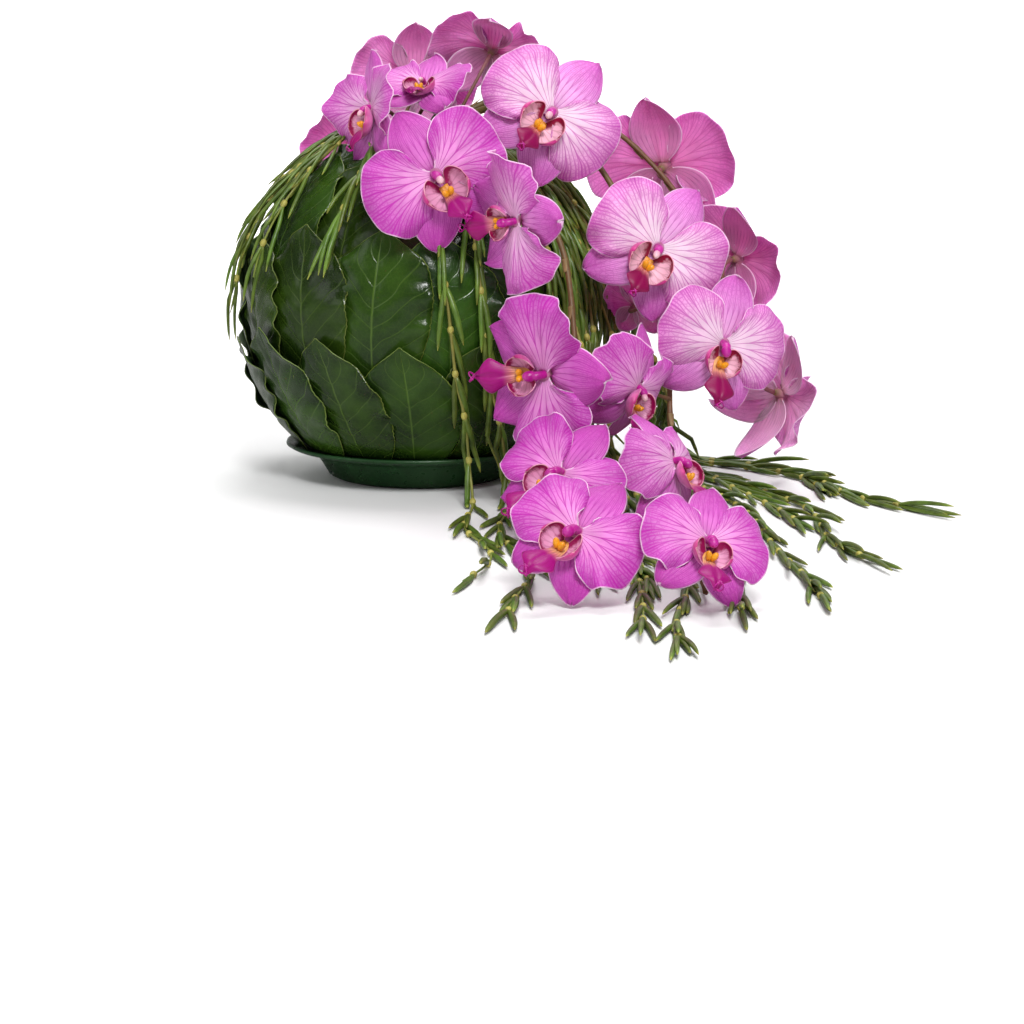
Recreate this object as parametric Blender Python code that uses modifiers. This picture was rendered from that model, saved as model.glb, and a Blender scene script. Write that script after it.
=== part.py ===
"""Funeral flower arrangement, modelled in metres with +Z up.

A plastic tray holds a ball of wet floral foam on a pronged anchor. Four rows of broad evergreen leaves
cover the ball like shingles, tips up. Moth-orchid spikes and trailing vines are pushed into the bare foam
at the top, arch over the right-hand side, and run out along the surface that the tray stands on.
The origin is the centre of the tray's underside, and -Y is the front.
"""
import functools
import math

import bmesh
import bpy
from mathutils import Matrix, Vector

OBJECT_NAME = "funeral_flower_arrangement"
GAP = 0.0003
WELD = 0.00001

# Finishes: linear colour and roughness.
FINISHES = {
    "green_plastic": ((0.012, 0.045, 0.022), 0.32),
    "anchor_plastic": ((0.02, 0.09, 0.04), 0.45),
    "wet_foam": ((0.02, 0.10, 0.04), 0.95),
    "glossy_leaf": ((0.020, 0.060, 0.014), 0.35),
    "spike_brown": ((0.16, 0.085, 0.03), 0.55),
    "vine_green": ((0.045, 0.09, 0.018), 0.45),
    "orchid_pink": ((0.62, 0.10, 0.50), 0.5),
}

# Tray: a turned saucer. Its profile runs from the middle of the floor over the rim to the middle of the foot,
# as radius and height.
TRAY_STEPS = 32
TRAY_THICKNESS = 0.0025
TRAY_PROFILE = (
    (0.0, TRAY_THICKNESS),
    (0.0610, TRAY_THICKNESS),
    (0.0710, 0.0185),
    (0.0905, 0.0246),
    (0.0947, 0.0258),
    (0.0955, 0.0236),
    (0.0735, 0.0165),
    (0.0636, 0.0012),
    (0.0620, 0.0),
    (0.0, 0.0),
)

# Foam ball, cut flat where it stands on the anchor's plate.
BALL_CENTRE = Vector((0.0, 0.0, 0.115))
FOAM_RADIUS = 0.117
FOAM_FOOT = 0.0050
FOAM_FOOT_REACH = 0.09
FOAM_SEGMENTS = 22
FOAM_RINGS = 12

# Anchor: plate with four prongs that stand in the foam.
ANCHOR_RADIUS = 0.016
ANCHOR_SIDES = 20
ANCHOR_THICKNESS = 0.0018
PRONG_COUNT = 4
PRONG_RADIUS = 0.0013
PRONG_SIDES = 6
PRONG_SINK = 0.0005
PRONG_LENGTH = 0.030
PRONG_CIRCLE = 0.010

# Leaf skin. A leaf's radius grows with its latitude and with its angle round the ball, so that each leaf
# lies over its neighbour, and each row over the bases of the row above.
LEAF_BASE_RADIUS = 0.1192
LEAF_RISE_PER_RADIAN = 0.0111
LEAF_HALF_WIDTH = 0.0345
SINGLE_LEAF_STATIONS = ((0.16, 0.70), (0.45, 1.0), (0.77, 0.66))
JOINED_LEAF_STATIONS = ((0.25, 0.88), (0.68, 0.88))
SINGLE_LEAF_THICKNESS = 0.0008
JOINED_LEAF_THICKNESS = 0.0016
SINGLE_LEAF_STEP = 0.0022
JOINED_LEAF_STEP = 0.0009
LEAF_STEP_START = 0.65
# Rows: leaf count, latitude of the bases and of the tips in degrees, and turn of the row in leaves.
LEAF_ROWS = (
    (14, -47.0, -1.0, 0.0),
    (14, -17.0, 29.0, 0.5),
    (12, 13.0, 58.0, 0.2),
    (9, 40.0, 69.0, 0.6),
)

# Orchid flower, drawn for a width of 1 across the petals, facing +Z with its top sepal toward +Y.
TEPAL_THICKNESS = 0.018
TEPAL_STATIONS = ((0.36, 0.84), (0.76, 0.92))
TEPAL_FOOT = 0.03
TEPAL_BOW = 0.05
TEPAL_BOW_SIDE_LOSS = 0.6
PETAL_ANGLES = (8.0, 172.0)
PETAL_LENGTH = 0.50
PETAL_HALF_WIDTH = 0.25
PETAL_LAYER = 0.008
SEPAL_ANGLES = (90.0, 234.0, 306.0)
SEPAL_LENGTH = 0.47
SEPAL_HALF_WIDTH = 0.145
SEPAL_LAYER = -0.022
FLOWER_HEART_RADIUS = 0.055
FLOWER_HEART_FOOT = 0.6
FLOWER_HEART_SIDES = 6
FLOWER_NECK = 0.075

# Lip: its middle lobe bends forward and down, and its side lobes cup the column.
LIP_STATIONS = ((0.45, 1.0),)
LIP_FOOT = (-0.035, 0.02)
LIP_HALF_WIDTH = 0.08
LIP_DROP = 0.29
LIP_REACH = 0.16
LIP_TURN = math.radians(135.0)
SIDE_LOBE_FOOT = (0.010, -0.035, 0.015)
SIDE_LOBE_DROP = 0.07
SIDE_LOBE_SPREAD = 0.12
SIDE_LOBE_REACH = 0.15
SIDE_LOBE_HALF_WIDTH = 0.07
COLUMN_ROUTE = (Vector((0.0, 0.0, 0.0)), Vector((0.0, -0.008, 0.06)), Vector((0.0, -0.040, 0.11)))
COLUMN_RADII = (0.034, 0.036, 0.026)

# Forms: how far the tips of petals and sepals stand forward, in flower widths.
FLOWER_FORMS = {
    "open": (-0.03, -0.06),
    "cupped": (0.12, 0.05),
    "swept": (-0.14, -0.18),
}

# Flowers: place of the heart, facing (degrees from the front toward +X, degrees up), roll, width, form,
# spike that bears it, and how far along the spike its stalk leaves.
FLOWERS = (
    ((0.016, -0.127, 0.220), (4, 10), 34, 0.100, "open", 1, 0.30),
    ((0.092, -0.080, 0.259), (10, 12), -44, 0.100, "open", 2, 0.22),
    ((-0.029, -0.058, 0.261), (-60, 6), 8, 0.080, "cupped", 4, 0.20),
    ((0.069, -0.158, 0.193), (-56, -6), -84, 0.094, "cupped", 1, 0.42),
    ((0.162, -0.108, 0.171), (12, 4), -38, 0.100, "open", 2, 0.42),
    ((-0.004, 0.054, 0.279), (188, 20), 0, 0.094, "open", 4, 0.40),
    ((0.052, 0.034, 0.299), (160, 34), 20, 0.086, "swept", 3, 0.20),
    ((0.175, 0.040, 0.217), (160, 14), -6, 0.110, "open", 3, 0.62),
    ((0.226, 0.006, 0.154), (138, 6), 24, 0.090, "swept", 3, 0.86),
    ((0.087, -0.187, 0.098), (-40, -4), -88, 0.106, "cupped", 1, 0.62),
    ((0.147, -0.159, 0.085), (50, -12), -24, 0.084, "swept", 2, 0.62),
    ((0.206, -0.115, 0.108), (18, 4), -18, 0.096, "open", 2, 0.54),
    ((0.254, -0.050, 0.065), (116, -14), 34, 0.100, "swept", 3, 1.0),
    ((0.096, -0.245, 0.044), (-22, 30), -30, 0.086, "open", 1, 0.80),
    ((0.168, -0.212, 0.045), (58, 26), -8, 0.080, "swept", 2, 0.82),
    ((0.102, -0.408, 0.040), (-16, 36), -30, 0.082, "open", 1, 0.98),
    ((0.173, -0.424, 0.038), (24, 34), -20, 0.076, "open", 2, 0.99),
    ((0.150, -0.062, 0.128), (150, 20), 0, 0.050, "cupped", 2, 0.50),
    ((-0.050, 0.120, 0.222), (206, 14), 10, 0.090, "open", 4, 0.72),
    ((0.062, 0.150, 0.180), (166, 4), -8, 0.088, "open", 4, 0.98),
    ((0.006, -0.040, 0.276), (-16, 56), 0, 0.070, "cupped", 4, 0.16),
)

# Spikes: hand-laid routes from inside the foam outward.
SPIKE_RADIUS = 0.0022
SPIKE_TAPER = 0.35
STALK_RADIUS = 0.0014
STALK_BEND = 0.016
STALK_SHARES = (0.0, 0.33, 0.67, 1.0)
SPIKE_KNOTS_IN_FOAM = 6
SPIKE_ROUTES = (
    ((0.006, -0.014, 0.205), (0.008, -0.020, 0.240), (0.020, -0.050, 0.256), (0.052, -0.094, 0.226),
     (0.094, -0.120, 0.184), (0.106, -0.142, 0.126), (0.106, -0.166, 0.066), (0.103, -0.194, 0.016),
     (0.101, -0.250, 0.0060), (0.100, -0.396, 0.0060)),
    ((0.016, -0.004, 0.205), (0.026, -0.006, 0.246), (0.070, -0.026, 0.262), (0.122, -0.052, 0.226),
     (0.154, -0.078, 0.165), (0.170, -0.096, 0.105), (0.172, -0.118, 0.045), (0.172, -0.160, 0.012),
     (0.176, -0.220, 0.0060), (0.174, -0.408, 0.0060)),
    ((0.012, 0.012, 0.205), (0.022, 0.016, 0.246), (0.070, 0.024, 0.268), (0.134, 0.020, 0.246),
     (0.182, 0.000, 0.200), (0.212, -0.016, 0.146), (0.226, -0.034, 0.090)),
    ((-0.012, 0.006, 0.205), (-0.016, 0.010, 0.242), (-0.010, 0.034, 0.254), (-0.004, 0.074, 0.244),
     (0.002, 0.112, 0.218), (0.030, 0.140, 0.186)),
)

# Trailing vines: angle where the stem enters the foam, angle where it lies on the ball, the latitude
# where it leaves the ball, then hand-laid points down to and along the surface. Angles as for flowers.
VINE_RADIUS = 0.0024
VINE_REST = VINE_RADIUS + GAP
VINE_CLEARANCE = 0.1362
VINE_KNOTS_IN_FOAM = 5
# Share of the full radius at the foot and at the tip, and the gain from one point to the next.
VINE_FOOT_TAPER = (0.55, 0.15)
VINE_TIP_TAPER = (0.4, 0.3)
# How far round toward its place on the ball, distance from the axis, and height of the first knots.
VINE_ENTRY_KNOTS = ((0.0, 0.031, 0.208), (0.0, 0.034, 0.234), (0.5, 0.045, 0.243))
VINE_TOP_LATITUDE = 58.0
VINE_BALL_SHARES = (0.0, 0.33, 0.67, 1.0)
VINES = (
    (-155, -148, 2, ()),
    (-100, -71, 2, ()),
    (-78, -57, 6, ()),
    (-50, -25, 24, ()),
    (-24, 11, -12, ((0.030, -0.128, 0.062), (0.036, -0.126, 0.028), (0.042, -0.148, VINE_REST),
                   (0.038, -0.220, VINE_REST), (0.050, -0.310, VINE_REST), (0.030, -0.410, VINE_REST))),
    (-2, 23, -12, ((0.056, -0.124, 0.062), (0.062, -0.122, 0.028), (0.068, -0.146, VINE_REST),
                   (0.064, -0.240, VINE_REST), (0.078, -0.350, VINE_REST), (0.064, -0.490, VINE_REST))),
    (20, 46, 0, ((0.106, -0.108, 0.070), (0.112, -0.110, 0.026), (0.118, -0.136, VINE_REST),
                 (0.118, -0.240, VINE_REST), (0.130, -0.360, VINE_REST), (0.112, -0.520, VINE_REST))),
    (42, 58, 4, ((0.128, -0.088, 0.070), (0.134, -0.090, 0.026), (0.142, -0.120, VINE_REST),
                 (0.142, -0.240, VINE_REST), (0.154, -0.380, VINE_REST), (0.142, -0.560, VINE_REST))),
    (64, 70, 8, ((0.150, -0.062, 0.070), (0.156, -0.064, 0.026), (0.166, -0.086, VINE_REST),
                 (0.192, -0.180, VINE_REST), (0.196, -0.300, VINE_REST), (0.176, -0.500, VINE_REST))),
    (86, 82, 12, ((0.162, -0.030, 0.070), (0.170, -0.032, 0.026), (0.186, -0.060, VINE_REST),
                  (0.222, -0.180, VINE_REST), (0.226, -0.320, VINE_REST), (0.240, -0.460, VINE_REST))),
    (108, 95, 16, ((0.172, 0.006, 0.070), (0.182, 0.004, 0.026), (0.206, -0.024, VINE_REST),
                   (0.252, -0.140, VINE_REST), (0.266, -0.260, VINE_REST), (0.300, -0.360, VINE_REST))),
    (132, 112, 10, ((0.168, 0.060, 0.070), (0.178, 0.060, 0.026), (0.206, 0.040, VINE_REST),
                    (0.270, -0.020, VINE_REST), (0.300, -0.110, VINE_REST), (0.350, -0.180, VINE_REST))),
    (166, 160, -4, ()),
)


def clear_scene():
    for old in list(bpy.data.objects):
        bpy.data.objects.remove(old)


def new_collection(name):
    made = bpy.data.collections.new(name)
    bpy.context.scene.collection.children.link(made)
    return made


def new_material(name):
    colour, roughness = FINISHES[name]
    material = bpy.data.materials.new(name)
    material.use_nodes = True
    shader = material.node_tree.nodes["Principled BSDF"]
    shader.inputs["Base Color"].default_value = (*colour, 1.0)
    shader.inputs["Roughness"].default_value = roughness
    shader.inputs["Metallic"].default_value = 0.0
    return material


def new_object(name, data, collection, material=None):
    made = bpy.data.objects.new(name, data)
    collection.objects.link(made)
    if material:
        made.data.materials.clear()
        made.data.materials.append(material)
    return made


def new_mesh(name, bm):
    bmesh.ops.recalc_face_normals(bm, faces=bm.faces)
    mesh = bpy.data.meshes.new(name)
    bm.to_mesh(mesh)
    bm.free()
    return mesh


def baked(piece):
    """The evaluated mesh of a piece, with caps and seams welded; the piece itself is removed."""
    bpy.context.view_layer.update()
    evaluated = piece.evaluated_get(bpy.context.evaluated_depsgraph_get())
    mesh = bpy.data.meshes.new_from_object(evaluated)
    mesh.transform(piece.matrix_world)
    bm = bmesh.new()
    bm.from_mesh(mesh)
    bmesh.ops.remove_doubles(bm, verts=bm.verts, dist=WELD)
    bm.to_mesh(mesh)
    bm.free()
    bpy.data.objects.remove(piece)
    return mesh


def united(name, pieces, collection, material):
    """One object from pieces that run into each other; the pieces are used up."""
    mesh = baked(pieces[0])
    for other in pieces[1:]:
        step = new_object(name + "_step", mesh, collection)
        add_boolean(step, other, "UNION")
        mesh = baked(step)
        bpy.data.objects.remove(other)
    return new_object(name, mesh, collection, material)


def add_boolean(piece, other, operation):
    modifier = piece.modifiers.new(operation.lower(), "BOOLEAN")
    modifier.solver = "EXACT"
    modifier.operation = operation
    modifier.object = other


def add_solidify(piece, thickness, offset):
    modifier = piece.modifiers.new("thickness", "SOLIDIFY")
    modifier.thickness = thickness
    modifier.offset = offset


def smooth_route(points, count):
    """Evenly indexed points on the Catmull-Rom curve through the given points."""
    knots = [Vector(point) for point in points]
    knots = [2 * knots[0] - knots[1], *knots, 2 * knots[-1] - knots[-2]]
    spans = len(knots) - 3
    route = []
    for index in range(count + 1):
        place = min(index / count * spans, spans - 1e-9)
        span = int(place)
        t = place - span
        a, b, c, d = knots[span:span + 4]
        route.append(
            0.5 * (2 * b + (c - a) * t + (2 * a - 5 * b + 4 * c - d) * t ** 2
                   + (3 * b - a - 3 * c + d) * t ** 3)
        )
    return route


def round_tube(name, route, radii, collection, material=None, sides=1):
    """A tube along a POLY spline, with filled caps and a radius for each point."""
    curve = bpy.data.curves.new(name, "CURVE")
    curve.dimensions = "3D"
    curve.bevel_depth = 1.0
    curve.bevel_resolution = sides
    curve.use_fill_caps = True
    spline = curve.splines.new("POLY")
    spline.points.add(len(route) - 1)
    for point, place, radius in zip(spline.points, route, radii):
        point.co = (*place, 1.0)
        point.radius = radius
    return new_object(name, curve, collection, material)


def pointed_blade(name, stations, place, collection, material=None):
    """Open surface between two end points, with three points across it at each station."""
    bm = bmesh.new()
    foot = bm.verts.new(place(0.0, 0.0))
    rows = [
        [bm.verts.new(place(along, side * width)) for side in (-1, 0, 1)]
        for along, width in stations
    ]
    tip = bm.verts.new(place(1.0, 0.0))
    for left, right in ((0, 1), (1, 2)):
        bm.faces.new((foot, rows[0][right], rows[0][left]))
        for near, far in zip(rows, rows[1:]):
            bm.faces.new((near[left], near[right], far[right], far[left]))
        bm.faces.new((rows[-1][left], rows[-1][right], tip))
    return new_object(name, new_mesh(name, bm), collection, material)


def on_ball(angle, latitude, radius):
    """A point at this distance from the ball's centre, with the angle measured from -Y toward +X."""
    level = radius * math.cos(latitude)
    return BALL_CENTRE + Vector(
        (level * math.sin(angle), -level * math.cos(angle), radius * math.sin(latitude))
    )


def direction(angle, latitude):
    return on_ball(angle, latitude, 1.0) - BALL_CENTRE


def make_tray(collection, material):
    mesh = bpy.data.meshes.new("tray")
    edges = [(index, index + 1) for index in range(len(TRAY_PROFILE) - 1)]
    mesh.from_pydata([(radius, 0.0, height) for radius, height in TRAY_PROFILE], edges, [])
    tray = new_object("tray", mesh, collection, material)
    screw = tray.modifiers.new("turned", "SCREW")
    screw.steps = TRAY_STEPS
    screw.render_steps = TRAY_STEPS
    screw.use_merge_vertices = True
    screw.merge_threshold = 0.0001
    return tray


def prong_places():
    for index in range(PRONG_COUNT):
        turn = 2 * math.pi * (index + 0.5) / PRONG_COUNT
        yield PRONG_CIRCLE * math.cos(turn), PRONG_CIRCLE * math.sin(turn)


def upright_cylinder(name, x, y, low, high, radius, sides, collection):
    bm = bmesh.new()
    bmesh.ops.create_cone(
        bm, cap_ends=True, segments=sides, radius1=radius, radius2=radius, depth=high - low,
        matrix=Matrix.Translation((x, y, (low + high) / 2)),
    )
    return new_object(name, new_mesh(name, bm), collection)


def make_anchor(collection, material):
    floor = TRAY_THICKNESS + GAP
    top = floor + ANCHOR_THICKNESS
    plate = upright_cylinder("plate", 0, 0, floor, top, ANCHOR_RADIUS, ANCHOR_SIDES, collection)
    prongs = [
        upright_cylinder(
            "prong", x, y, floor + PRONG_SINK, top + PRONG_LENGTH, PRONG_RADIUS, PRONG_SIDES, collection
        )
        for x, y in prong_places()
    ]
    return united("foam_anchor", [plate, *prongs], collection, material)


def foam_holes(cutters, stems):
    """Cutters for the flat foot, for each prong and for the run of each stem in the foam."""
    foot = upright_cylinder(
        "foot_cut", 0, 0, -FOAM_RADIUS, FOAM_FOOT, FOAM_FOOT_REACH, ANCHOR_SIDES, cutters
    )
    prong_top = TRAY_THICKNESS + GAP + ANCHOR_THICKNESS + PRONG_LENGTH + GAP
    holes = [foot]
    for x, y in prong_places():
        holes.append(
            upright_cylinder("prong_hole", x, y, 0.0, prong_top, PRONG_RADIUS + GAP, PRONG_SIDES, cutters)
        )
    for route, radius in stems:
        end = route[0] + (route[0] - route[1]).normalized() * 2 * GAP
        hole = round_tube("stem_hole", [end, *route[1:]], [radius + 2 * GAP] * len(route), cutters)
        holes.append(new_object("stem_hole", baked(hole), cutters))
    return holes


def make_foam_ball(parts, cutters, material, stems):
    bm = bmesh.new()
    bmesh.ops.create_uvsphere(
        bm, u_segments=FOAM_SEGMENTS, v_segments=FOAM_RINGS, radius=FOAM_RADIUS,
        matrix=Matrix.Translation(BALL_CENTRE),
    )
    mesh = new_mesh("foam_ball", bm)
    for hole in foam_holes(cutters, stems):
        step = new_object("foam_step", mesh, parts)
        add_boolean(step, hole, "DIFFERENCE")
        mesh = baked(step)
        hide_guide(hole)
    return new_object("foam_ball", mesh, parts, material)


def hide_guide(guide):
    guide.hide_render = True
    guide.display_type = "WIRE"


def leaf_surface(row, index, step):
    """The function that places one leaf's points on the ball."""
    count, low, high, turn = row
    low, high = math.radians(low), math.radians(high)
    spacing = 2 * math.pi / count
    middle = spacing * (index + turn)

    def place(along, side):
        latitude = low + (high - low) * along
        reach = LEAF_HALF_WIDTH * side / (LEAF_BASE_RADIUS * math.cos(latitude))
        radius = LEAF_BASE_RADIUS + LEAF_RISE_PER_RADIAN * (latitude - low)
        radius += step * (LEAF_STEP_START + reach / spacing)
        return on_ball(middle + reach, latitude, radius)

    return place


def make_leaf_row(number, row, collection, material):
    """The lowest row's leaves stay separate; in the rows above they run into each other."""
    single = number == 1
    step = SINGLE_LEAF_STEP if single else JOINED_LEAF_STEP
    thickness = SINGLE_LEAF_THICKNESS if single else JOINED_LEAF_THICKNESS
    stations = SINGLE_LEAF_STATIONS if single else JOINED_LEAF_STATIONS
    leaves = []
    for index in range(row[0]):
        name = f"leaf_{number}_{index + 1:02d}"
        place = leaf_surface(row, index, step)
        leaf = pointed_blade(name, stations, place, collection, material)
        add_solidify(leaf, thickness, 1.0)
        leaves.append(leaf)
    if not single:
        united(f"leaf_row_{number}", leaves, collection, material)


def tepal(name, angle, length, half_width, layer, reach, collection):
    """One petal or sepal, bowed along its length."""
    turn = math.radians(angle)
    out = Vector((math.cos(turn), math.sin(turn), 0.0))
    across = Vector((-math.sin(turn), math.cos(turn), 0.0))

    def place(along, side):
        bow = TEPAL_BOW * math.sin(math.pi * along) * (1 - abs(side) * TEPAL_BOW_SIDE_LOSS)
        flat = out * (TEPAL_FOOT + (length - TEPAL_FOOT) * along) + across * half_width * side
        return flat + Vector((0, 0, layer + reach * along ** 2 + bow))

    blade = pointed_blade(name, TEPAL_STATIONS, place, collection)
    add_solidify(blade, TEPAL_THICKNESS, 0.0)
    return blade


def make_lip(collection):
    """The lip's middle lobe and its two side lobes."""

    def middle(along, side):
        forward = LIP_FOOT[1] + LIP_REACH * math.sin(LIP_TURN * along)
        return Vector((LIP_HALF_WIDTH * side, LIP_FOOT[0] - LIP_DROP * along, forward))

    def side_lobe(along, side, mirror):
        x, y, z = SIDE_LOBE_FOOT
        x += SIDE_LOBE_SPREAD * math.sin(math.pi / 2 * along)
        y += SIDE_LOBE_HALF_WIDTH * side - SIDE_LOBE_DROP * along
        return Vector((mirror * x, y, z + SIDE_LOBE_REACH * along ** 2))

    lobes = [pointed_blade("lip_middle", LIP_STATIONS, middle, collection)]
    for mirror in (-1, 1):
        place = functools.partial(side_lobe, mirror=mirror)
        lobes.append(pointed_blade("lip_side", LIP_STATIONS, place, collection))
    for lobe in lobes:
        add_solidify(lobe, TEPAL_THICKNESS, 0.0)
    return lobes


def flower_mesh(form, collection):
    """One closed solid of a whole flower of width 1."""
    petal_reach, sepal_reach = FLOWER_FORMS[form]
    bm = bmesh.new()
    bmesh.ops.create_cone(
        bm, cap_ends=True, segments=FLOWER_HEART_SIDES, depth=2 * FLOWER_HEART_RADIUS,
        radius1=FLOWER_HEART_FOOT * FLOWER_HEART_RADIUS, radius2=FLOWER_HEART_RADIUS,
    )
    pieces = [new_object("heart", new_mesh("heart", bm), collection)]
    for name, angles, length, half_width, layer, reach in (
        ("sepal", SEPAL_ANGLES, SEPAL_LENGTH, SEPAL_HALF_WIDTH, SEPAL_LAYER, sepal_reach),
        ("petal", PETAL_ANGLES, PETAL_LENGTH, PETAL_HALF_WIDTH, PETAL_LAYER, petal_reach),
    ):
        for angle in angles:
            pieces.append(tepal(name, angle, length, half_width, layer, reach, collection))
    pieces.extend(make_lip(collection))
    column = round_tube("column", COLUMN_ROUTE, COLUMN_RADII, collection, sides=0)
    pieces.append(new_object("column", baked(column), collection))
    flower = united("flower_" + form, pieces, collection, None)
    mesh = flower.data
    bpy.data.objects.remove(flower)
    return mesh


def flower_matrix(place, facing, roll, width):
    front = direction(math.radians(facing[0]), math.radians(facing[1]))
    right = Vector((0, 0, 1)).cross(front).normalized()
    turn = Matrix((right, front.cross(right), front)).transposed().to_4x4()
    spin = Matrix.Rotation(math.radians(roll), 4, "Z")
    return Matrix.Translation(place) @ turn @ spin @ Matrix.Scale(width, 4)


def make_flowers(collection, material):
    shapes = {form: flower_mesh(form, collection) for form in FLOWER_FORMS}
    for number, (place, facing, roll, width, form, _, _) in enumerate(FLOWERS, 1):
        name = f"orchid_flower_{number:02d}"
        flower = new_object(name, shapes[form], collection, material)
        flower.matrix_world = flower_matrix(place, facing, roll, width)


def stalk_route(start, flower):
    """A flower stalk from the middle of the spike to just short of the back of the flower."""
    place, facing, _, width = flower[:4]
    front = direction(math.radians(facing[0]), math.radians(facing[1]))
    end = Vector(place) - front * (FLOWER_NECK * width + GAP)
    neck = end - front * STALK_BEND
    return [start * (1 - t) ** 2 + neck * 2 * t * (1 - t) + end * t ** 2 for t in STALK_SHARES]


def make_spikes(collection, material):
    """Each spike with the stalks of the flowers that it bears. Returns the stems' runs in the foam."""
    stems = []
    for number, knots in enumerate(SPIKE_ROUTES, 1):
        route = smooth_route(knots, 4 * len(knots) - 6)
        taper = SPIKE_TAPER / len(route)
        radii = [SPIKE_RADIUS * (1.0 - taper * index) for index in range(len(route))]
        pieces = [round_tube("stem", route, radii, collection)]
        for flower in FLOWERS:
            if flower[5] != number:
                continue
            start = route[round(flower[6] * (len(route) - 1))]
            course = stalk_route(start, flower)
            stalk = round_tube("stalk", course, [STALK_RADIUS] * len(course), collection, sides=0)
            pieces.append(new_object("stalk", baked(stalk), collection))
        united(f"orchid_spike_{number}", pieces, collection, material)
        stems.append((route[:SPIKE_KNOTS_IN_FOAM], SPIKE_RADIUS))
    return stems


def vine_knots(entry, angle, last, free):
    """A vine's route: out of the foam, over the leaf tips, down the ball and along the surface."""
    entry, angle, last = (math.radians(value) for value in (entry, angle, last))
    knots = []
    for share, radius, height in VINE_ENTRY_KNOTS:
        turned = entry + (angle - entry) * share
        knots.append(Vector((radius * math.sin(turned), -radius * math.cos(turned), height)))
    top = math.radians(VINE_TOP_LATITUDE)
    for share in VINE_BALL_SHARES:
        knots.append(on_ball(angle, top + (last - top) * share, VINE_CLEARANCE))
    return knots + [Vector(point) for point in free]


def vine_radii(count):
    """A vine's radii, thinner toward both ends."""
    radii = []
    for index in range(count + 1):
        from_foot = VINE_FOOT_TAPER[0] + VINE_FOOT_TAPER[1] * index
        from_tip = VINE_TIP_TAPER[0] + VINE_TIP_TAPER[1] * (count - index)
        radii.append(VINE_RADIUS * min(from_foot, 1.0, from_tip))
    return radii


def make_vines(collection, material):
    """Trailing vines. Returns the stems' runs in the foam."""
    stems = []
    for number, (entry, angle, last, free) in enumerate(VINES, 1):
        knots = vine_knots(entry, angle, last, free)
        count = 2 * len(knots)
        route = smooth_route(knots, count)
        for point in route:
            point.z = max(point.z, VINE_REST)
        radii = vine_radii(count)
        round_tube(f"trailing_vine_{number:02d}", route, radii, collection, material)
        stems.append((route[:VINE_KNOTS_IN_FOAM], radii[2]))
    return stems


def main():
    clear_scene()
    parts = new_collection(OBJECT_NAME)
    cutters = new_collection("cutters")
    make_tray(parts, new_material("green_plastic"))
    make_anchor(parts, new_material("anchor_plastic"))
    leaf_green = new_material("glossy_leaf")
    for number, row in enumerate(LEAF_ROWS, 1):
        make_leaf_row(number, row, parts, leaf_green)
    stems = make_spikes(parts, new_material("spike_brown"))
    stems += make_vines(parts, new_material("vine_green"))
    make_flowers(parts, new_material("orchid_pink"))
    make_foam_ball(parts, cutters, new_material("wet_foam"), stems)


main()
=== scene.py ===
"""The looks of a funeral flower arrangement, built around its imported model.

Moth orchids, shingled glossy leaves and trailing vines grow from thin closed shells and tapering tubes,
in metres with +Z up. Angles round the ball start at the front (-Y) and grow toward +X.
"""

import math

import bpy
import numpy as np
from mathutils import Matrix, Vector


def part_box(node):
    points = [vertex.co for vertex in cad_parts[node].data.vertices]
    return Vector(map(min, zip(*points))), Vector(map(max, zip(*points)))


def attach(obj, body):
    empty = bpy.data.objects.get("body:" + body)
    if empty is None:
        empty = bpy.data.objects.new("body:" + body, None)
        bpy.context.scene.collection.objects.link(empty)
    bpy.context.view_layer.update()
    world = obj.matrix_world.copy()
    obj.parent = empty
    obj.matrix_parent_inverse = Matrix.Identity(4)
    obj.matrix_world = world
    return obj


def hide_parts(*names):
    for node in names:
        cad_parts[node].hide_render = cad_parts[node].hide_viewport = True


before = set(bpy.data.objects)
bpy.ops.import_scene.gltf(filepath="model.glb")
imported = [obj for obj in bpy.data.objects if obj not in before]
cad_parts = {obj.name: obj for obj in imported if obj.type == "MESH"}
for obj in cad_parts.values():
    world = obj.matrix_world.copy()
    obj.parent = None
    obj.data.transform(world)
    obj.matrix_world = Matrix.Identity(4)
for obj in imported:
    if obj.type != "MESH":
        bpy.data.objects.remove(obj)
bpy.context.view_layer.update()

BODY = "root"
SEED = 2098

# The ball: the foam's own box gives its radius and its centre.
FOAM_LOW, FOAM_HIGH = (np.array(corner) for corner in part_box("foam_ball"))
FOAM_RADIUS = (FOAM_HIGH[0] - FOAM_LOW[0]) / 2
FOAM_CROWN_LOSS = 0.0002
BALL_CENTRE = np.array([0.0, 0.0, FOAM_HIGH[2] - FOAM_RADIUS + FOAM_CROWN_LOSS])

# Leaves: how they lie on the ball, and how far their faces swell, wave and sink.
LEAF_BASE_RADIUS = 0.1192
LEAF_RISE_PER_RADIAN = 0.0111
LEAF_HALF_WIDTH = 0.0350
LEAF_STEP = 0.0024
LEAF_STEP_START = 0.65
LEAF_FLARE = 0.0046
LEAF_WAVE = 0.0037
LEAF_UNDER_WAVE = 0.0008
LEAF_RUFFLE = 0.0024
LEAF_TIP_LIFT = 0.0044
LEAF_PILLOW = 0.0009
LEAF_MIDRIB_SINK = 0.0009
LEAF_SIDE_SINK = 0.0008
LEAF_THICKNESS = 0.0005
LEAF_INNER_RADIUS = FOAM_RADIUS + 0.0012
LEAF_OUTER_RADIUS = 0.1345
LEAF_GRID = (60, 21)
LEAF_VEINS = 7
LEAF_VEIN_SLOPE = 0.62
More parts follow.
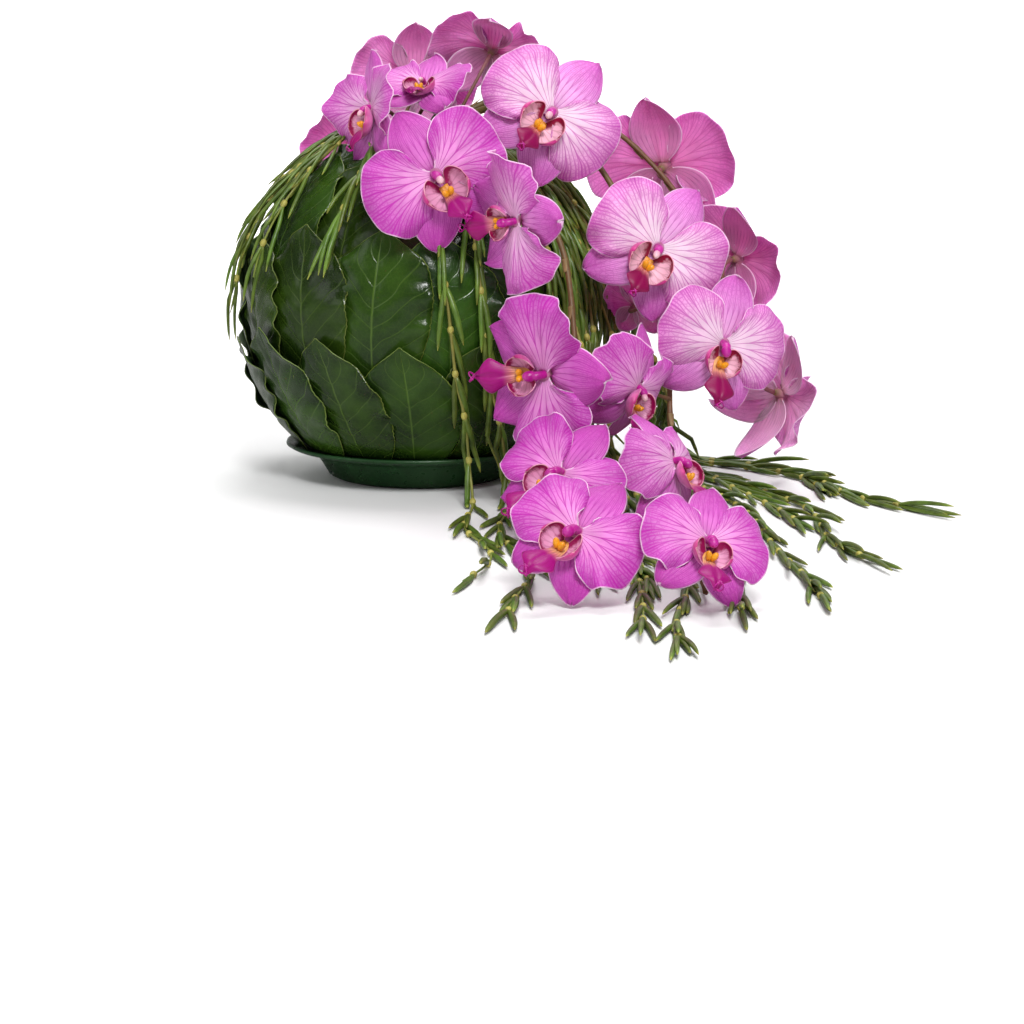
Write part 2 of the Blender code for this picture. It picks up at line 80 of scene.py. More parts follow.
# Rows from the bottom up: count, degrees of latitude from base to tip, and turn of the row.
LEAF_ROWS = (
    (14, -47.0, -1.0, 0.0),
    (14, -17.0, 29.0, 0.5),
    (12, 13.0, 58.0, 0.2),
    (9, 40.0, 69.0, 0.6),
)

# Flowers: place of the heart, facing (degrees round, degrees up), roll, width, form, spike, and the share of
# the spike's length where the stalk starts.
FLOWERS = (
    ((0.016, -0.127, 0.220), (4, 10), 34, 0.100, "open", 1, 0.30),
    ((0.092, -0.080, 0.259), (10, 12), -44, 0.100, "open", 2, 0.22),
    ((-0.029, -0.058, 0.261), (-60, 6), 8, 0.080, "cupped", 4, 0.20),
    ((0.069, -0.158, 0.193), (-56, -6), -84, 0.094, "cupped", 1, 0.42),
    ((0.162, -0.108, 0.171), (12, 4), -38, 0.100, "open", 2, 0.42),
    ((-0.004, 0.054, 0.279), (188, 20), 0, 0.094, "open", 4, 0.40),
    ((0.052, 0.034, 0.299), (160, 34), 20, 0.086, "swept", 3, 0.20),
    ((0.175, 0.040, 0.217), (160, 14), -6, 0.110, "open", 3, 0.62),
    ((0.226, 0.006, 0.154), (138, 6), 24, 0.090, "swept", 3, 0.86),
    ((0.087, -0.187, 0.098), (-40, -4), -88, 0.106, "cupped", 1, 0.62),
    ((0.147, -0.159, 0.085), (50, -12), -24, 0.084, "swept", 2, 0.62),
    ((0.206, -0.115, 0.108), (18, 4), -18, 0.096, "open", 2, 0.54),
    ((0.254, -0.050, 0.065), (116, -14), 34, 0.100, "swept", 3, 1.0),
    ((0.096, -0.245, 0.044), (-22, 30), -30, 0.086, "open", 1, 0.80),
    ((0.168, -0.212, 0.045), (58, 26), -8, 0.080, "swept", 2, 0.82),
    ((0.102, -0.408, 0.040), (-16, 36), -30, 0.082, "open", 1, 0.98),
    ((0.173, -0.424, 0.038), (24, 34), -20, 0.076, "open", 2, 0.99),
    ((0.150, -0.062, 0.128), (150, 20), 0, 0.050, "cupped", 2, 0.50),
    ((-0.050, 0.120, 0.222), (206, 14), 10, 0.090, "open", 4, 0.72),
    ((0.062, 0.150, 0.180), (166, 4), -8, 0.088, "open", 4, 0.98),
    ((0.006, -0.040, 0.276), (-16, 56), 0, 0.070, "cupped", 4, 0.16),
)
# Forms: how far the tips of petals and sepals stand forward, in flower widths.
FLOWER_FORMS = {"open": (-0.03, -0.06), "cupped": (0.12, 0.05), "swept": (-0.14, -0.18)}
# Tones: 0 is the deepest magenta and 1 the palest pink. The others take a chance tone.
FLOWER_TONES = {
    1: 0.10, 2: 0.90, 3: 0.42, 4: 0.40, 5: 0.96, 6: 0.62, 7: 0.55, 8: 0.38, 9: 0.28, 10: 0.06, 12: 0.86,
    13: 0.85, 14: 0.0, 16: 0.05, 17: 0.12, 21: 0.15,
}
# Lips that aren't the usual size for their flower, and lips with a wide middle lobe and a stout magenta cap.
LIP_SIZES = {4: 0.90, 10: 0.94, 14: 1.15, 15: 1.10, 16: 1.15, 17: 1.12}
BROAD_LIPS = (4, 10, 12, 14, 15, 16, 17)
BROAD_TONGUE = 1.22
BROAD_BOWL = 0.84
# One flower, in flower widths. Its thicknesses are in metres.
FLOWER_NECK = 0.075
PETAL_ANGLES = (8.0, 172.0)
PETAL_LENGTH = 0.50
PETAL_HALF_WIDTH = 0.30
PETAL_LAYERS = (0.008, 0.012)
PETAL_GRID = (24, 46)
PETAL_SWEEP = 164.0
PETAL_SQUARENESS = 2.12
SEPAL_ANGLES = (90.0, 234.0, 306.0)
SEPAL_LENGTH = 0.49
SEPAL_HALF_WIDTH = 0.178
SEPAL_LAYER = -0.022
SEPAL_GRID = (28, 17)
PETAL_THICKNESS = 0.0007
PETAL_EDGE_THICKNESS = 0.0003

# Lip, in flower widths: the middle lobe's route and half widths, and the round bowl of the side lobes.
LIP_THICKNESS = 0.0006
LIP_ROUTE = (
    (0, -0.085, 0.035), (0, -0.155, 0.060), (0, -0.220, 0.135), (0, -0.300, 0.185), (0, -0.362, 0.172),
)
LIP_STATIONS = (0.0, 0.25, 0.45, 0.62, 0.70, 0.86, 1.0)
LIP_HALF_WIDTHS = (0.032, 0.036, 0.058, 0.098, 0.080, 0.034, 0.012)
BOWL_CENTRE = (0.0, -0.120, 0.108)
BOWL_RADII = (0.160, 0.140, 0.092)
COLUMN_ROUTE = ((0, 0.006, 0.0), (0, 0.004, 0.035), (0, -0.010, 0.072), (0, -0.034, 0.100))
CAP_PLACE = (0.0, -0.046, 0.102)
CAP_AXIS = (0.0, -0.75, 0.66)
CALLUS_PLACE = (0.020, -0.142, 0.090)
CALLUS_AXIS = (0.3, 0.5, 0.8)

# Spikes: routes from inside the foam outward.
SPIKE_RADIUS = 0.0022
SPIKE_REST = 0.0028
SPIKE_STEP = 0.004
SPIKE_JOINT_GAP = 8
BRACT_LENGTH = 0.009
BRACT_THICKNESS = 0.0003
STALK_RADIUS = 0.0014
STALK_REST = 0.002
STALK_BEND = 0.016
SPIKE_ROUTES = (
    (
        (0.006, -0.014, 0.205), (0.008, -0.020, 0.240), (0.020, -0.050, 0.256), (0.052, -0.094, 0.226),
        (0.094, -0.120, 0.184), (0.106, -0.142, 0.126), (0.106, -0.166, 0.066), (0.103, -0.194, 0.016),
        (0.101, -0.250, 0.006), (0.100, -0.396, 0.006),
    ),
    (
        (0.016, -0.004, 0.205), (0.026, -0.006, 0.246), (0.070, -0.026, 0.262), (0.122, -0.052, 0.226),
        (0.154, -0.078, 0.165), (0.170, -0.096, 0.105), (0.172, -0.118, 0.045), (0.172, -0.160, 0.012),
        (0.176, -0.220, 0.006), (0.174, -0.408, 0.006),
    ),
    (
        (0.012, 0.012, 0.205), (0.022, 0.016, 0.246), (0.070, 0.024, 0.268), (0.134, 0.020, 0.246),
        (0.182, 0.0, 0.200), (0.212, -0.016, 0.146), (0.226, -0.034, 0.090),
    ),
    (
        (-0.012, 0.006, 0.205), (-0.016, 0.010, 0.242), (-0.010, 0.034, 0.254), (-0.004, 0.074, 0.244),
        (0.002, 0.112, 0.218), (0.030, 0.140, 0.186),
    ),
)

# Vines: entry angle at the top, angle down the ball, last latitude on it, and free points beyond.
VINE_RADIUS = 0.0011
VINE_REST = 0.0027
VINE_CLEARANCE = 0.1362
VINE_STEP = 0.006
# Where a vine leaves the foam: share of the turn from entry to its own angle, radius and height.
VINE_ENTRY_KNOTS = ((0.0, 0.031, 0.208), (0.0, 0.034, 0.234), (0.5, 0.045, 0.243))
VINE_TOP_LATITUDE = 58.0
VINE_BALL_SHARES = (0.0, 0.33, 0.67, 1.0)
VINES = (
    (-155, -148, 2, ()),
    (-100, -71, 2, ()),
    (-78, -57, 6, ()),
    (-50, -25, 24, ()),
    (-24, 11, -12, (
        (0.030, -0.128, 0.062), (0.036, -0.126, 0.028), (0.042, -0.148, VINE_REST),
        (0.038, -0.220, VINE_REST), (0.050, -0.310, VINE_REST), (0.030, -0.410, VINE_REST),
    )),
    (-2, 23, -12, (
        (0.056, -0.124, 0.062), (0.062, -0.122, 0.028), (0.068, -0.146, VINE_REST),
        (0.064, -0.240, VINE_REST), (0.078, -0.350, VINE_REST), (0.064, -0.490, VINE_REST),
    )),
    (20, 46, 0, (
        (0.106, -0.108, 0.070), (0.112, -0.110, 0.026), (0.118, -0.136, VINE_REST),
        (0.118, -0.240, VINE_REST), (0.130, -0.360, VINE_REST), (0.112, -0.520, VINE_REST),
    )),
    (42, 58, 4, (
        (0.128, -0.088, 0.070), (0.134, -0.090, 0.026), (0.142, -0.120, VINE_REST),
        (0.142, -0.240, VINE_REST), (0.154, -0.380, VINE_REST), (0.142, -0.560, VINE_REST),
    )),
    (64, 70, 8, (
        (0.150, -0.062, 0.070), (0.156, -0.064, 0.026), (0.166, -0.086, VINE_REST),
        (0.192, -0.180, VINE_REST), (0.196, -0.300, VINE_REST), (0.176, -0.500, VINE_REST),
    )),
    (86, 82, 12, (
        (0.162, -0.030, 0.070), (0.170, -0.032, 0.026), (0.186, -0.060, VINE_REST),
        (0.222, -0.180, VINE_REST), (0.226, -0.320, VINE_REST), (0.240, -0.460, VINE_REST),
    )),
    (108, 95, 16, (
        (0.172, 0.006, 0.070), (0.182, 0.004, 0.026), (0.206, -0.024, VINE_REST),
        (0.252, -0.140, VINE_REST), (0.266, -0.260, VINE_REST), (0.300, -0.360, VINE_REST),
    )),
    (132, 112, 10, (
        (0.168, 0.060, 0.070), (0.178, 0.060, 0.026), (0.206, 0.040, VINE_REST),
        (0.270, -0.020, VINE_REST), (0.300, -0.110, VINE_REST), (0.350, -0.180, VINE_REST),
    )),
    (166, 160, -4, ()),
)
# Habits of the vines, in the same order: strands, the fewest and most needles at a joint, and how stout
# they are.
VINE_HABITS = (
    (2, 2, 3, 0.75), (3, 2, 3, 0.66), (2, 2, 3, 0.72), (1, 3, 4, 0.95), (1, 1, 2, 1.0), (1, 2, 3, 1.0),
    (3, 2, 4, 0.90), (3, 2, 4, 0.88), (2, 2, 4, 0.88), (2, 2, 4, 0.86), (2, 2, 4, 0.86), (2, 2, 4, 0.86),
    (2, 2, 3, 0.85),
)
NEEDLE_RADIUS = 0.0021
NEEDLE_LENGTHS = (0.034, 0.052)
NEEDLE_OUTER_RADIUS = 0.1388
STRAND_SPACING = 0.011
JOINT_SPACING = 0.030
JOINT_LENGTH = 0.006
JOINT_RADIUS = 0.0022
# Strands and needles stay this far from the ball's centre, up to this height over it. Their outer limit
# ends near the surface.
LEAFY_RADIUS = 0.1318
OPENING_HEIGHT = 0.112
NEAR_SURFACE = 0.03
NO_LIMIT = 9.0


# ---------------------------------------------------------------- vectors and routes

def unit(vectors):
    return vectors / np.maximum(np.linalg.norm(vectors, axis=-1, keepdims=True), 1e-9)


def direction(angle, latitude):
    return np.array([
        math.cos(latitude) * math.sin(angle), -math.cos(latitude) * math.cos(angle), math.sin(latitude),
    ])


def smooth_route(points, count):
    """Evenly indexed points on the Catmull-Rom curve through the given points."""
    knots = np.array(points, float)
    knots = np.vstack([2 * knots[0] - knots[1], knots, 2 * knots[-1] - knots[-2]])
    spans = len(knots) - 3
    place = np.minimum(np.linspace(0, spans, count + 1), spans - 1e-9)
    span = place.astype(int)
    t = (place - span)[:, None]
    a, b, c, d = (knots[span + shift] for shift in range(4))
    square, cube = 2 * a - 5 * b + 4 * c - d, 3 * b - a - 3 * c + d
    return 0.5 * (2 * b + (c - a) * t + square * t ** 2 + cube * t ** 3)


def spaced(route, step):
    """The route again, with points this far apart along it."""
    lengths = np.concatenate([[0], np.cumsum(np.linalg.norm(np.diff(route, axis=0), axis=1))])
    count = max(int(round(lengths[-1] / step)), 2)
    wanted = np.linspace(0, lengths[-1], count + 1)
    return np.stack([np.interp(wanted, lengths, route[:, axis]) for axis in range(3)], axis=1)


def smoothstep(low, high, value):
    t = np.clip((value - low) / (high - low), 0, 1)
    return t * t * (3 - 2 * t)


def carried_frames(route):
    """Tangent and two side directions at each point, turned as little as possible from point to point."""
    tangent = unit(np.gradient(route, axis=0))
    start = np.cross(tangent[0], (0.0, 0.0, 1.0))
    if np.linalg.norm(start) < 0.1:
        start = np.cross(tangent[0], (0.0, 1.0, 0.0))
    side = np.empty_like(route)
    last = unit(start)
    for index, along in enumerate(tangent):
        last = last - along * (last @ along)
        last = last / np.linalg.norm(last)
        side[index] = last
    return tangent, side, np.cross(tangent, side)


# ---------------------------------------------------------------- mesh pieces

# What "grow" says of the margin on tubes and turned parts, which have none.
FAR_FROM_MARGIN = 5.0


class Piece:
    """Gathers closed shells and tubes, then makes them one object with several finishes.

    Each point carries "grow": how far across and along its part it is, and its distance from the part's
    margin in millimetres. It also carries "tone", a number that tells one part from the next.
    """

    def __init__(self, name):
        self.name = name
        self.points, self.faces, self.finishes, self.flat = [], [], [], []
        self.grow, self.tone = [], []
        self.count = 0

    def add(self, points, faces, finishes, grow, tone, flat=None):
        self.points.append(points)
        self.grow.append(grow)
        self.tone.append(np.full(len(points), tone))
        for group, finish in zip(faces, finishes):
            self.faces.append(group + self.count)
            self.finishes.append(np.full(len(group), finish))
            self.flat.append(np.full(len(group), group is flat))
        self.count += len(points)

    def build(self, materials):
        mesh = bpy.data.meshes.new(self.name)
        points = np.vstack(self.points)
        sizes = np.concatenate([np.full(len(group), group.shape[1]) for group in self.faces])
        corners = np.concatenate([group.ravel() for group in self.faces])
        mesh.vertices.add(len(points))
        mesh.vertices.foreach_set("co", points.astype(np.float32).ravel())
        mesh.loops.add(len(corners))
        mesh.loops.foreach_set("vertex_index", corners.astype(np.int32))
        mesh.polygons.add(len(sizes))
        starts = np.concatenate([[0], np.cumsum(sizes)[:-1]])
        mesh.polygons.foreach_set("loop_start", starts.astype(np.int32))
        mesh.polygons.foreach_set("material_index", np.concatenate(self.finishes).astype(np.int32))
        mesh.update(calc_edges=True)
        mesh.polygons.foreach_set("use_smooth", ~np.concatenate(self.flat))
        grow = mesh.attributes.new("grow", "FLOAT_VECTOR", "POINT")
        grow.data.foreach_set("vector", np.vstack(self.grow).astype(np.float32).ravel())
        tone = mesh.attributes.new("tone", "FLOAT", "POINT")
        tone.data.foreach_set("value", np.concatenate(self.tone).astype(np.float32))
        for material in materials:
            mesh.materials.append(material)
        mesh.validate()
        piece = bpy.data.objects.new(self.name, mesh)
        bpy.context.scene.collection.objects.link(piece)
        return piece


def set_in_place(made, node):
    """The piece stands for its node, whose own part is hidden, and rides on the one body."""
    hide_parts(node)
    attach(made, BODY)


def grid_faces(rows, columns):
    index = np.arange(rows * columns).reshape(rows, columns)
    return np.stack([index[:-1, :-1], index[1:, :-1], index[1:, 1:], index[:-1, 1:]], axis=-1).reshape(-1, 4)


def grid_margin(rows, columns):
    """The grid's outer points in order, the same way round as its faces."""
    index = np.arange(rows * columns).reshape(rows, columns)
    return np.concatenate([index[:, 0], index[-1, 1:], index[-2::-1, -1], index[0, -2:0:-1]])


def distance_from_margin(sheet):
    """How far each point of the sheet is from its sides and tip, in millimetres."""
    rim = np.concatenate([sheet[1:, 0], sheet[-1], sheet[1:, -1]])
    flat = sheet.reshape(-1, 3)
    return np.sqrt(((flat[:, None] - rim[None]) ** 2).sum(-1).min(1)) * 1000


def add_shell(piece, sheet, thickness, finishes, tone):
    """A closed leaf-like shell. Rows run from base to tip, and columns across.

    The front takes the first finish. The back and the rim take the second.
    """
    rows, columns = sheet.shape[:2]
    normal = unit(np.cross(np.gradient(sheet, axis=0), np.gradient(sheet, axis=1)))
    half = np.broadcast_to(thickness, (rows, columns))[..., None] / 2
    front, back = (sheet + normal * half).reshape(-1, 3), (sheet - normal * half).reshape(-1, 3)
    face = grid_faces(rows, columns)
    near = grid_margin(rows, columns)
    far = np.roll(near, -1)
    count = rows * columns
    rim = np.stack([far, near, near + count, far + count], axis=-1)
    across, along = np.meshgrid(np.linspace(0, 1, columns), np.linspace(0, 1, rows))
    grow = np.stack([across.ravel(), along.ravel(), distance_from_margin(sheet)], axis=-1)
    piece.add(
        np.vstack([front, back]), [face, face[:, ::-1] + count, rim], [finishes[0], finishes[1], finishes[1]],
        np.vstack([grow, grow]), tone, flat=rim,
    )


def add_tube(piece, route, radii, sides, finish, tone, frames=None, squash=1.0):
    """A closed round tube, or a flattened one, with its radius at each point of the route."""
    _, side, other = frames or carried_frames(route)
    turn = np.linspace(0, 2 * math.pi, sides, endpoint=False)
    radii = np.asarray(radii)[:, None, None]
    ring = side[:, None] * np.cos(turn)[None, :, None] + other[:, None] * np.sin(turn)[None, :, None] * squash
    points = (route[:, None] + ring * radii).reshape(-1, 3)
    index = np.arange(len(route) * sides).reshape(-1, sides)
    after = np.roll(index, -1, axis=1)
    wall = np.stack([index[:-1], after[:-1], after[1:], index[1:]], axis=-1).reshape(-1, 4)
    caps = np.stack([index[0, ::-1], index[-1]])
    along = np.repeat(np.linspace(0, 1, len(route)), sides)
    across = np.tile(0.5 + 0.5 * np.cos(turn), len(route))
    grow = np.stack([across, along, np.full(len(points), FAR_FROM_MARGIN)], axis=-1)
    piece.add(points, [wall, caps], [finish, finish], grow, tone)


def add_blob(piece, centre, axis, length, radius, finish, tone):
    """A closed egg along an axis."""
    share = np.linspace(-0.985, 0.985, 11)
    route = centre + axis * (share * length / 2)[:, None]
    add_tube(piece, route, radius * np.sqrt(1 - share ** 2), 12, finish, tone)


# ---------------------------------------------------------------- shader helpers

def srgb(red, green, blue):
    """A colour from its usual 0 to 255 values, as the shader's own linear ones."""
    def linear(value):
        value = value / 255
        return value / 12.92 if value <= 0.04045 else ((value + 0.055) / 1.055) ** 2.4
    return (linear(red), linear(green), linear(blue), 1.0)


class Tree:
    """Adds and joins nodes. A value is either another node's socket or a plain number."""

    def __init__(self, tree):
        self.tree = tree

    def put(self, socket, value):
        if isinstance(value, bpy.types.NodeSocket):
            self.tree.links.new(value, socket)
        else:
            socket.default_value = value

    def node(self, kind, inputs=None, **settings):
        made = self.tree.nodes.new(kind)
        for name, value in settings.items():
            setattr(made, name, value)
        for key, value in (inputs or {}).items():
            self.put(made.inputs[key], value)
        return made

    def maths(self, operation, *values):
        return self.node("ShaderNodeMath", dict(enumerate(values)), operation=operation).outputs[0]

    def ease(self, value, low, high, to_low=0.0, to_high=1.0):
        made = self.node("ShaderNodeMapRange", interpolation_type="SMOOTHSTEP")
        for key, number in enumerate((value, low, high, to_low, to_high)):
            self.put(made.inputs[key], number)
        return made.outputs[0]

    def blend(self, share, first, second, mode="MIX"):
        made = self.node("ShaderNodeMix", data_type="RGBA", blend_type=mode)
        self.put(made.inputs[0], share)
        self.put(made.inputs[6], first)
        self.put(made.inputs[7], second)
        return made.outputs[2]

    def ramp(self, value, stops):
        made = self.node("ShaderNodeValToRGB", {0: value})
        elements = made.color_ramp.elements
        for index, (place, colour) in enumerate(stops):
            element = elements[index] if index < 2 else elements.new(place)
            element.position = place
            element.color = colour
        return made.outputs[0]

    def grow(self):
        """How far across, how far along, and millimetres from the margin."""
        attribute = self.node("ShaderNodeAttribute", attribute_name="grow")
        parts = self.node("ShaderNodeSeparateXYZ", {0: attribute.outputs["Vector"]})
        return parts.outputs[0], parts.outputs[1], parts.outputs[2]

    def tone(self):
        return self.node("ShaderNodeAttribute", attribute_name="tone").outputs["Fac"]

    def own_place(self):
        return self.node("ShaderNodeTexCoord").outputs["Object"]

    def noise(self, scale, detail=2.0):
        inputs = {"Vector": self.own_place(), "Scale": scale, "Detail": detail}
        return self.node("ShaderNodeTexNoise", inputs).outputs[0]

    def cells(self, scale, feature="F1"):
        """Distances in a pattern of cells: from each cell's centre, or from its edge."""
        inputs = {"Vector": self.own_place(), "Scale": scale}
        return self.node("ShaderNodeTexVoronoi", inputs, feature=feature).outputs["Distance"]

    def group(self, name, inputs):
        made = self.node("ShaderNodeGroup", node_tree=bpy.data.node_groups[name])
        for key, value in inputs.items():
            self.put(made.inputs[key], value)
        return made.outputs[0]


WHITE = (1.0, 1.0, 1.0, 1.0)


def new_group(name, inputs, output):
    """An empty shader group with named sockets, as its tree helper, its inputs and its output socket.

    An input given as a colour gets a colour socket. The output is a colour when it is named Color.
    """
    tree = bpy.data.node_groups.new(name, "ShaderNodeTree")
    for key, value in inputs.items():
        kind = "NodeSocketColor" if isinstance(value, tuple) else "NodeSocketFloat"
        tree.interface.new_socket(name=key, in_out="INPUT", socket_type=kind).default_value = value
    kind = "NodeSocketColor" if output == "Color" else "NodeSocketFloat"
    tree.interface.new_socket(name=output, in_out="OUTPUT", socket_type=kind)
    helper = Tree(tree)
    given = helper.node("NodeGroupInput").outputs
    result = helper.node("NodeGroupOutput").inputs[0]
    return helper, given, result


def make_fan_veins():
    """Veins that run from base to margin and fork twice on the way."""
    helper, given, result = new_group("fan_veins", {
        "Across": 0.0, "Along": 0.0, "Count": 9.0, "Fork": 0.3, "Width": 0.1, "Waver": 0.02,
    }, "Mask")
    waver = helper.maths("SUBTRACT", helper.noise(60.0, 1.0), 0.5)
    waver = helper.maths("MULTIPLY", helper.maths("MULTIPLY", waver, given["Waver"]), given["Along"])
    across = helper.maths("ADD", given["Across"], waver)
    taper = helper.maths("MULTIPLY_ADD", given["Along"], -0.55, 1.15)
    width = helper.maths("MULTIPLY", given["Width"], taper)
    nearest = helper.maths("PINGPONG", helper.maths("MULTIPLY", across, given["Count"]), 0.5)
    mask = helper.ease(nearest, 0.0, width, 1.0, 0.0)
    for share, delay in ((0.34, 0.0), (0.17, 0.26)):
        start = helper.maths("ADD", given["Fork"], delay)
        grown = helper.maths("SUBTRACT", given["Along"], start)
        spread = helper.maths("MULTIPLY", helper.ease(grown, 0.0, 0.3), share)
        gap = helper.maths("ABSOLUTE", helper.maths("SUBTRACT", nearest, spread))
        fork = helper.ease(gap, 0.0, helper.maths("MULTIPLY", width, 0.8), 1.0, 0.0)
        fork = helper.maths("MULTIPLY", fork, helper.ease(grown, 0.0, 0.04))
        mask = helper.maths("MAXIMUM", mask, helper.maths("MULTIPLY", fork, 0.8))
    helper.tree.links.new(mask, result)


def make_feather_veins():
    """A midrib with side veins that leave it forward."""
    helper, given, result = new_group("feather_veins", {
        "Across": 0.0, "Along": 0.0, "Count": 13.0, "Slope": 0.35, "Width": 0.12, "Rib": 0.035,
    }, "Mask")
    off = helper.maths("ABSOLUTE", helper.maths("SUBTRACT", given["Across"], 0.5))
    rib = helper.ease(off, 0.0, given["Rib"], 1.0, 0.0)
    lag = helper.maths("SUBTRACT", given["Along"], helper.maths("MULTIPLY", off, given["Slope"]))
    lag = helper.maths("ADD", lag, helper.maths("MULTIPLY", helper.noise(40.0, 1.0), 0.12))
    nearest = helper.maths("PINGPONG", helper.maths("MULTIPLY", lag, given["Count"]), 0.5)
    vein = helper.ease(nearest, 0.0, given["Width"], 0.55, 0.0)
    helper.tree.links.new(helper.maths("MAXIMUM", rib, vein), result)


def make_net_veins():
    """The finest veins, a net of small cells."""
    helper, given, result = new_group("net_veins", {"Scale": 600.0, "Width": 0.09}, "Mask")
    cells = helper.cells(given["Scale"], "DISTANCE_TO_EDGE")
    helper.tree.links.new(helper.ease(cells, 0.0, given["Width"], 1.0, 0.0), result)


def make_mottle():
    """Soft uneven patches between two values."""
    helper, given, result = new_group("mottle", {"Scale": 60.0, "Low": 0.8, "High": 1.1}, "Mask")
    patches = helper.noise(given["Scale"], 3.0)
    helper.tree.links.new(helper.ease(patches, 0.3, 0.7, given["Low"], given["High"]), result)


def make_skin_grain():
    """A fine skin of small swellings."""
    helper, given, result = new_group("skin_grain", {"Scale": 900.0, "Amount": 1.0}, "Height")
    helper.tree.links.new(helper.maths("MULTIPLY", helper.noise(given["Scale"]), given["Amount"]), result)


def make_own_tone():
    """The colour with its brightness, and a little of its hue, set by the part's own tone."""
    helper, given, result = new_group("own_tone", {"Color": WHITE, "Hue": 0.0, "Value": 0.16}, "Color")
    tone = helper.maths("SUBTRACT", helper.tone(), 0.5)
    shifted = helper.node("ShaderNodeHueSaturation", {
        "Color": given["Color"], "Hue": helper.maths("MULTIPLY_ADD", tone, given["Hue"], 0.5),
        "Value": helper.maths("MULTIPLY_ADD", tone, given["Value"], 1.0),
    })
    helper.tree.links.new(shifted.outputs[0], result)


def make_thin_rim():
    """The colour with another one along the margin, between two distances in millimetres."""
    helper, given, result = new_group("thin_rim", {
        "Color": WHITE, "Rim": WHITE, "Margin": 5.0, "Near": 0.25, "Far": 0.6, "Strength": 0.5,
    }, "Color")
    share = helper.ease(given["Margin"], given["Near"], given["Far"], given["Strength"], 0.0)
    helper.tree.links.new(helper.blend(share, given["Color"], given["Rim"]), result)


def new_material(name, roughness, **sockets):
    """A material's tree helper and its Principled shader, with plain numbers on the shader's own sockets."""
    material = bpy.data.materials.new(name)
    material.use_nodes = True
    shader = material.node_tree.nodes["Principled BSDF"]
    shader.inputs["Roughness"].default_value = roughness
    for key, value in sockets.items():
        shader.inputs[key.replace("_", " ")].default_value = value
    return material, Tree(material.node_tree), shader


def fan_veins(helper, across, along, count, fork, width, waver):
    return helper.group("fan_veins", {
        "Across": across, "Along": along, "Count": count, "Fork": fork, "Width": width, "Waver": waver,
    })


def varied(helper, colour, hue=0.0, value=0.16):
    return helper.group("own_tone", {"Color": colour, "Hue": hue, "Value": value})


def rimmed(helper, colour, rim, margin, near, far, strength):
    return helper.group("thin_rim", {
        "Color": colour, "Rim": rim, "Margin": margin, "Near": near, "Far": far, "Strength": strength,
    })


def mottled(helper, colour, scale, low, high):
    patches = helper.group("mottle", {"Scale": scale, "Low": low, "High": high})
    return helper.blend(1.0, colour, patches, "MULTIPLY")


def bumped(helper, shader, height, distance, strength=1.0):
    bump = helper.node("ShaderNodeBump", {"Height": height, "Distance": distance, "Strength": strength})
    helper.tree.links.new(bump.outputs[0], shader.inputs["Normal"])


def grained(helper, shader, scale, amount, distance):
    bumped(helper, shader, helper.group("skin_grain", {"Scale": scale, "Amount": amount}), distance)


PETAL_SOFTNESS = {
    "Subsurface_Weight": 0.12, "Subsurface_Scale": 0.003, "Subsurface_Radius": (1.0, 0.35, 0.7),
    "Specular_IOR_Level": 0.35, "Sheen_Weight": 0.05, "Sheen_Roughness": 0.5,
}


def make_petal_face(name, count, fork, deep, pale, vein, vein_strength, back=False):
    """Satin petal skin: a pale heart, forking veins, a fine net toward the margin and a thin pale rim."""
    material, helper, shader = new_material(name, 0.55 if back else 0.46, **PETAL_SOFTNESS)
    if back:
        shader.inputs["Subsurface Weight"].default_value = 0.4
    across, along, margin = helper.grow()
    tone = helper.tone()
    colour = helper.blend(tone, helper.ramp(along, deep), helper.ramp(along, pale))
    colour = mottled(helper, colour, 75.0, 0.90, 1.06)
    veins = fan_veins(helper, across, along, count, fork, 0.13, 0.045)
    net = helper.group("net_veins", {"Scale": 330.0, "Width": 0.13})
    net = helper.maths("MULTIPLY", net, helper.ease(along, 0.35, 0.85, 0.0, 0.65))
    marks = helper.maths("MAXIMUM", veins, net)
    strength = helper.maths("MULTIPLY_ADD", tone, -0.25 * vein_strength, vein_strength)
    colour = helper.blend(helper.maths("MULTIPLY", marks, strength), colour, vein)
    colour = rimmed(helper, colour, srgb(250, 212, 238), margin, 0.30, 1.0, 0.75)
    helper.put(shader.inputs["Base Color"], colour)
    grain = helper.group("skin_grain", {"Scale": 1100.0, "Amount": 0.35})
    bumped(helper, shader, helper.maths("SUBTRACT", grain, helper.maths("MULTIPLY", marks, 0.3)), 0.0004)
    return material


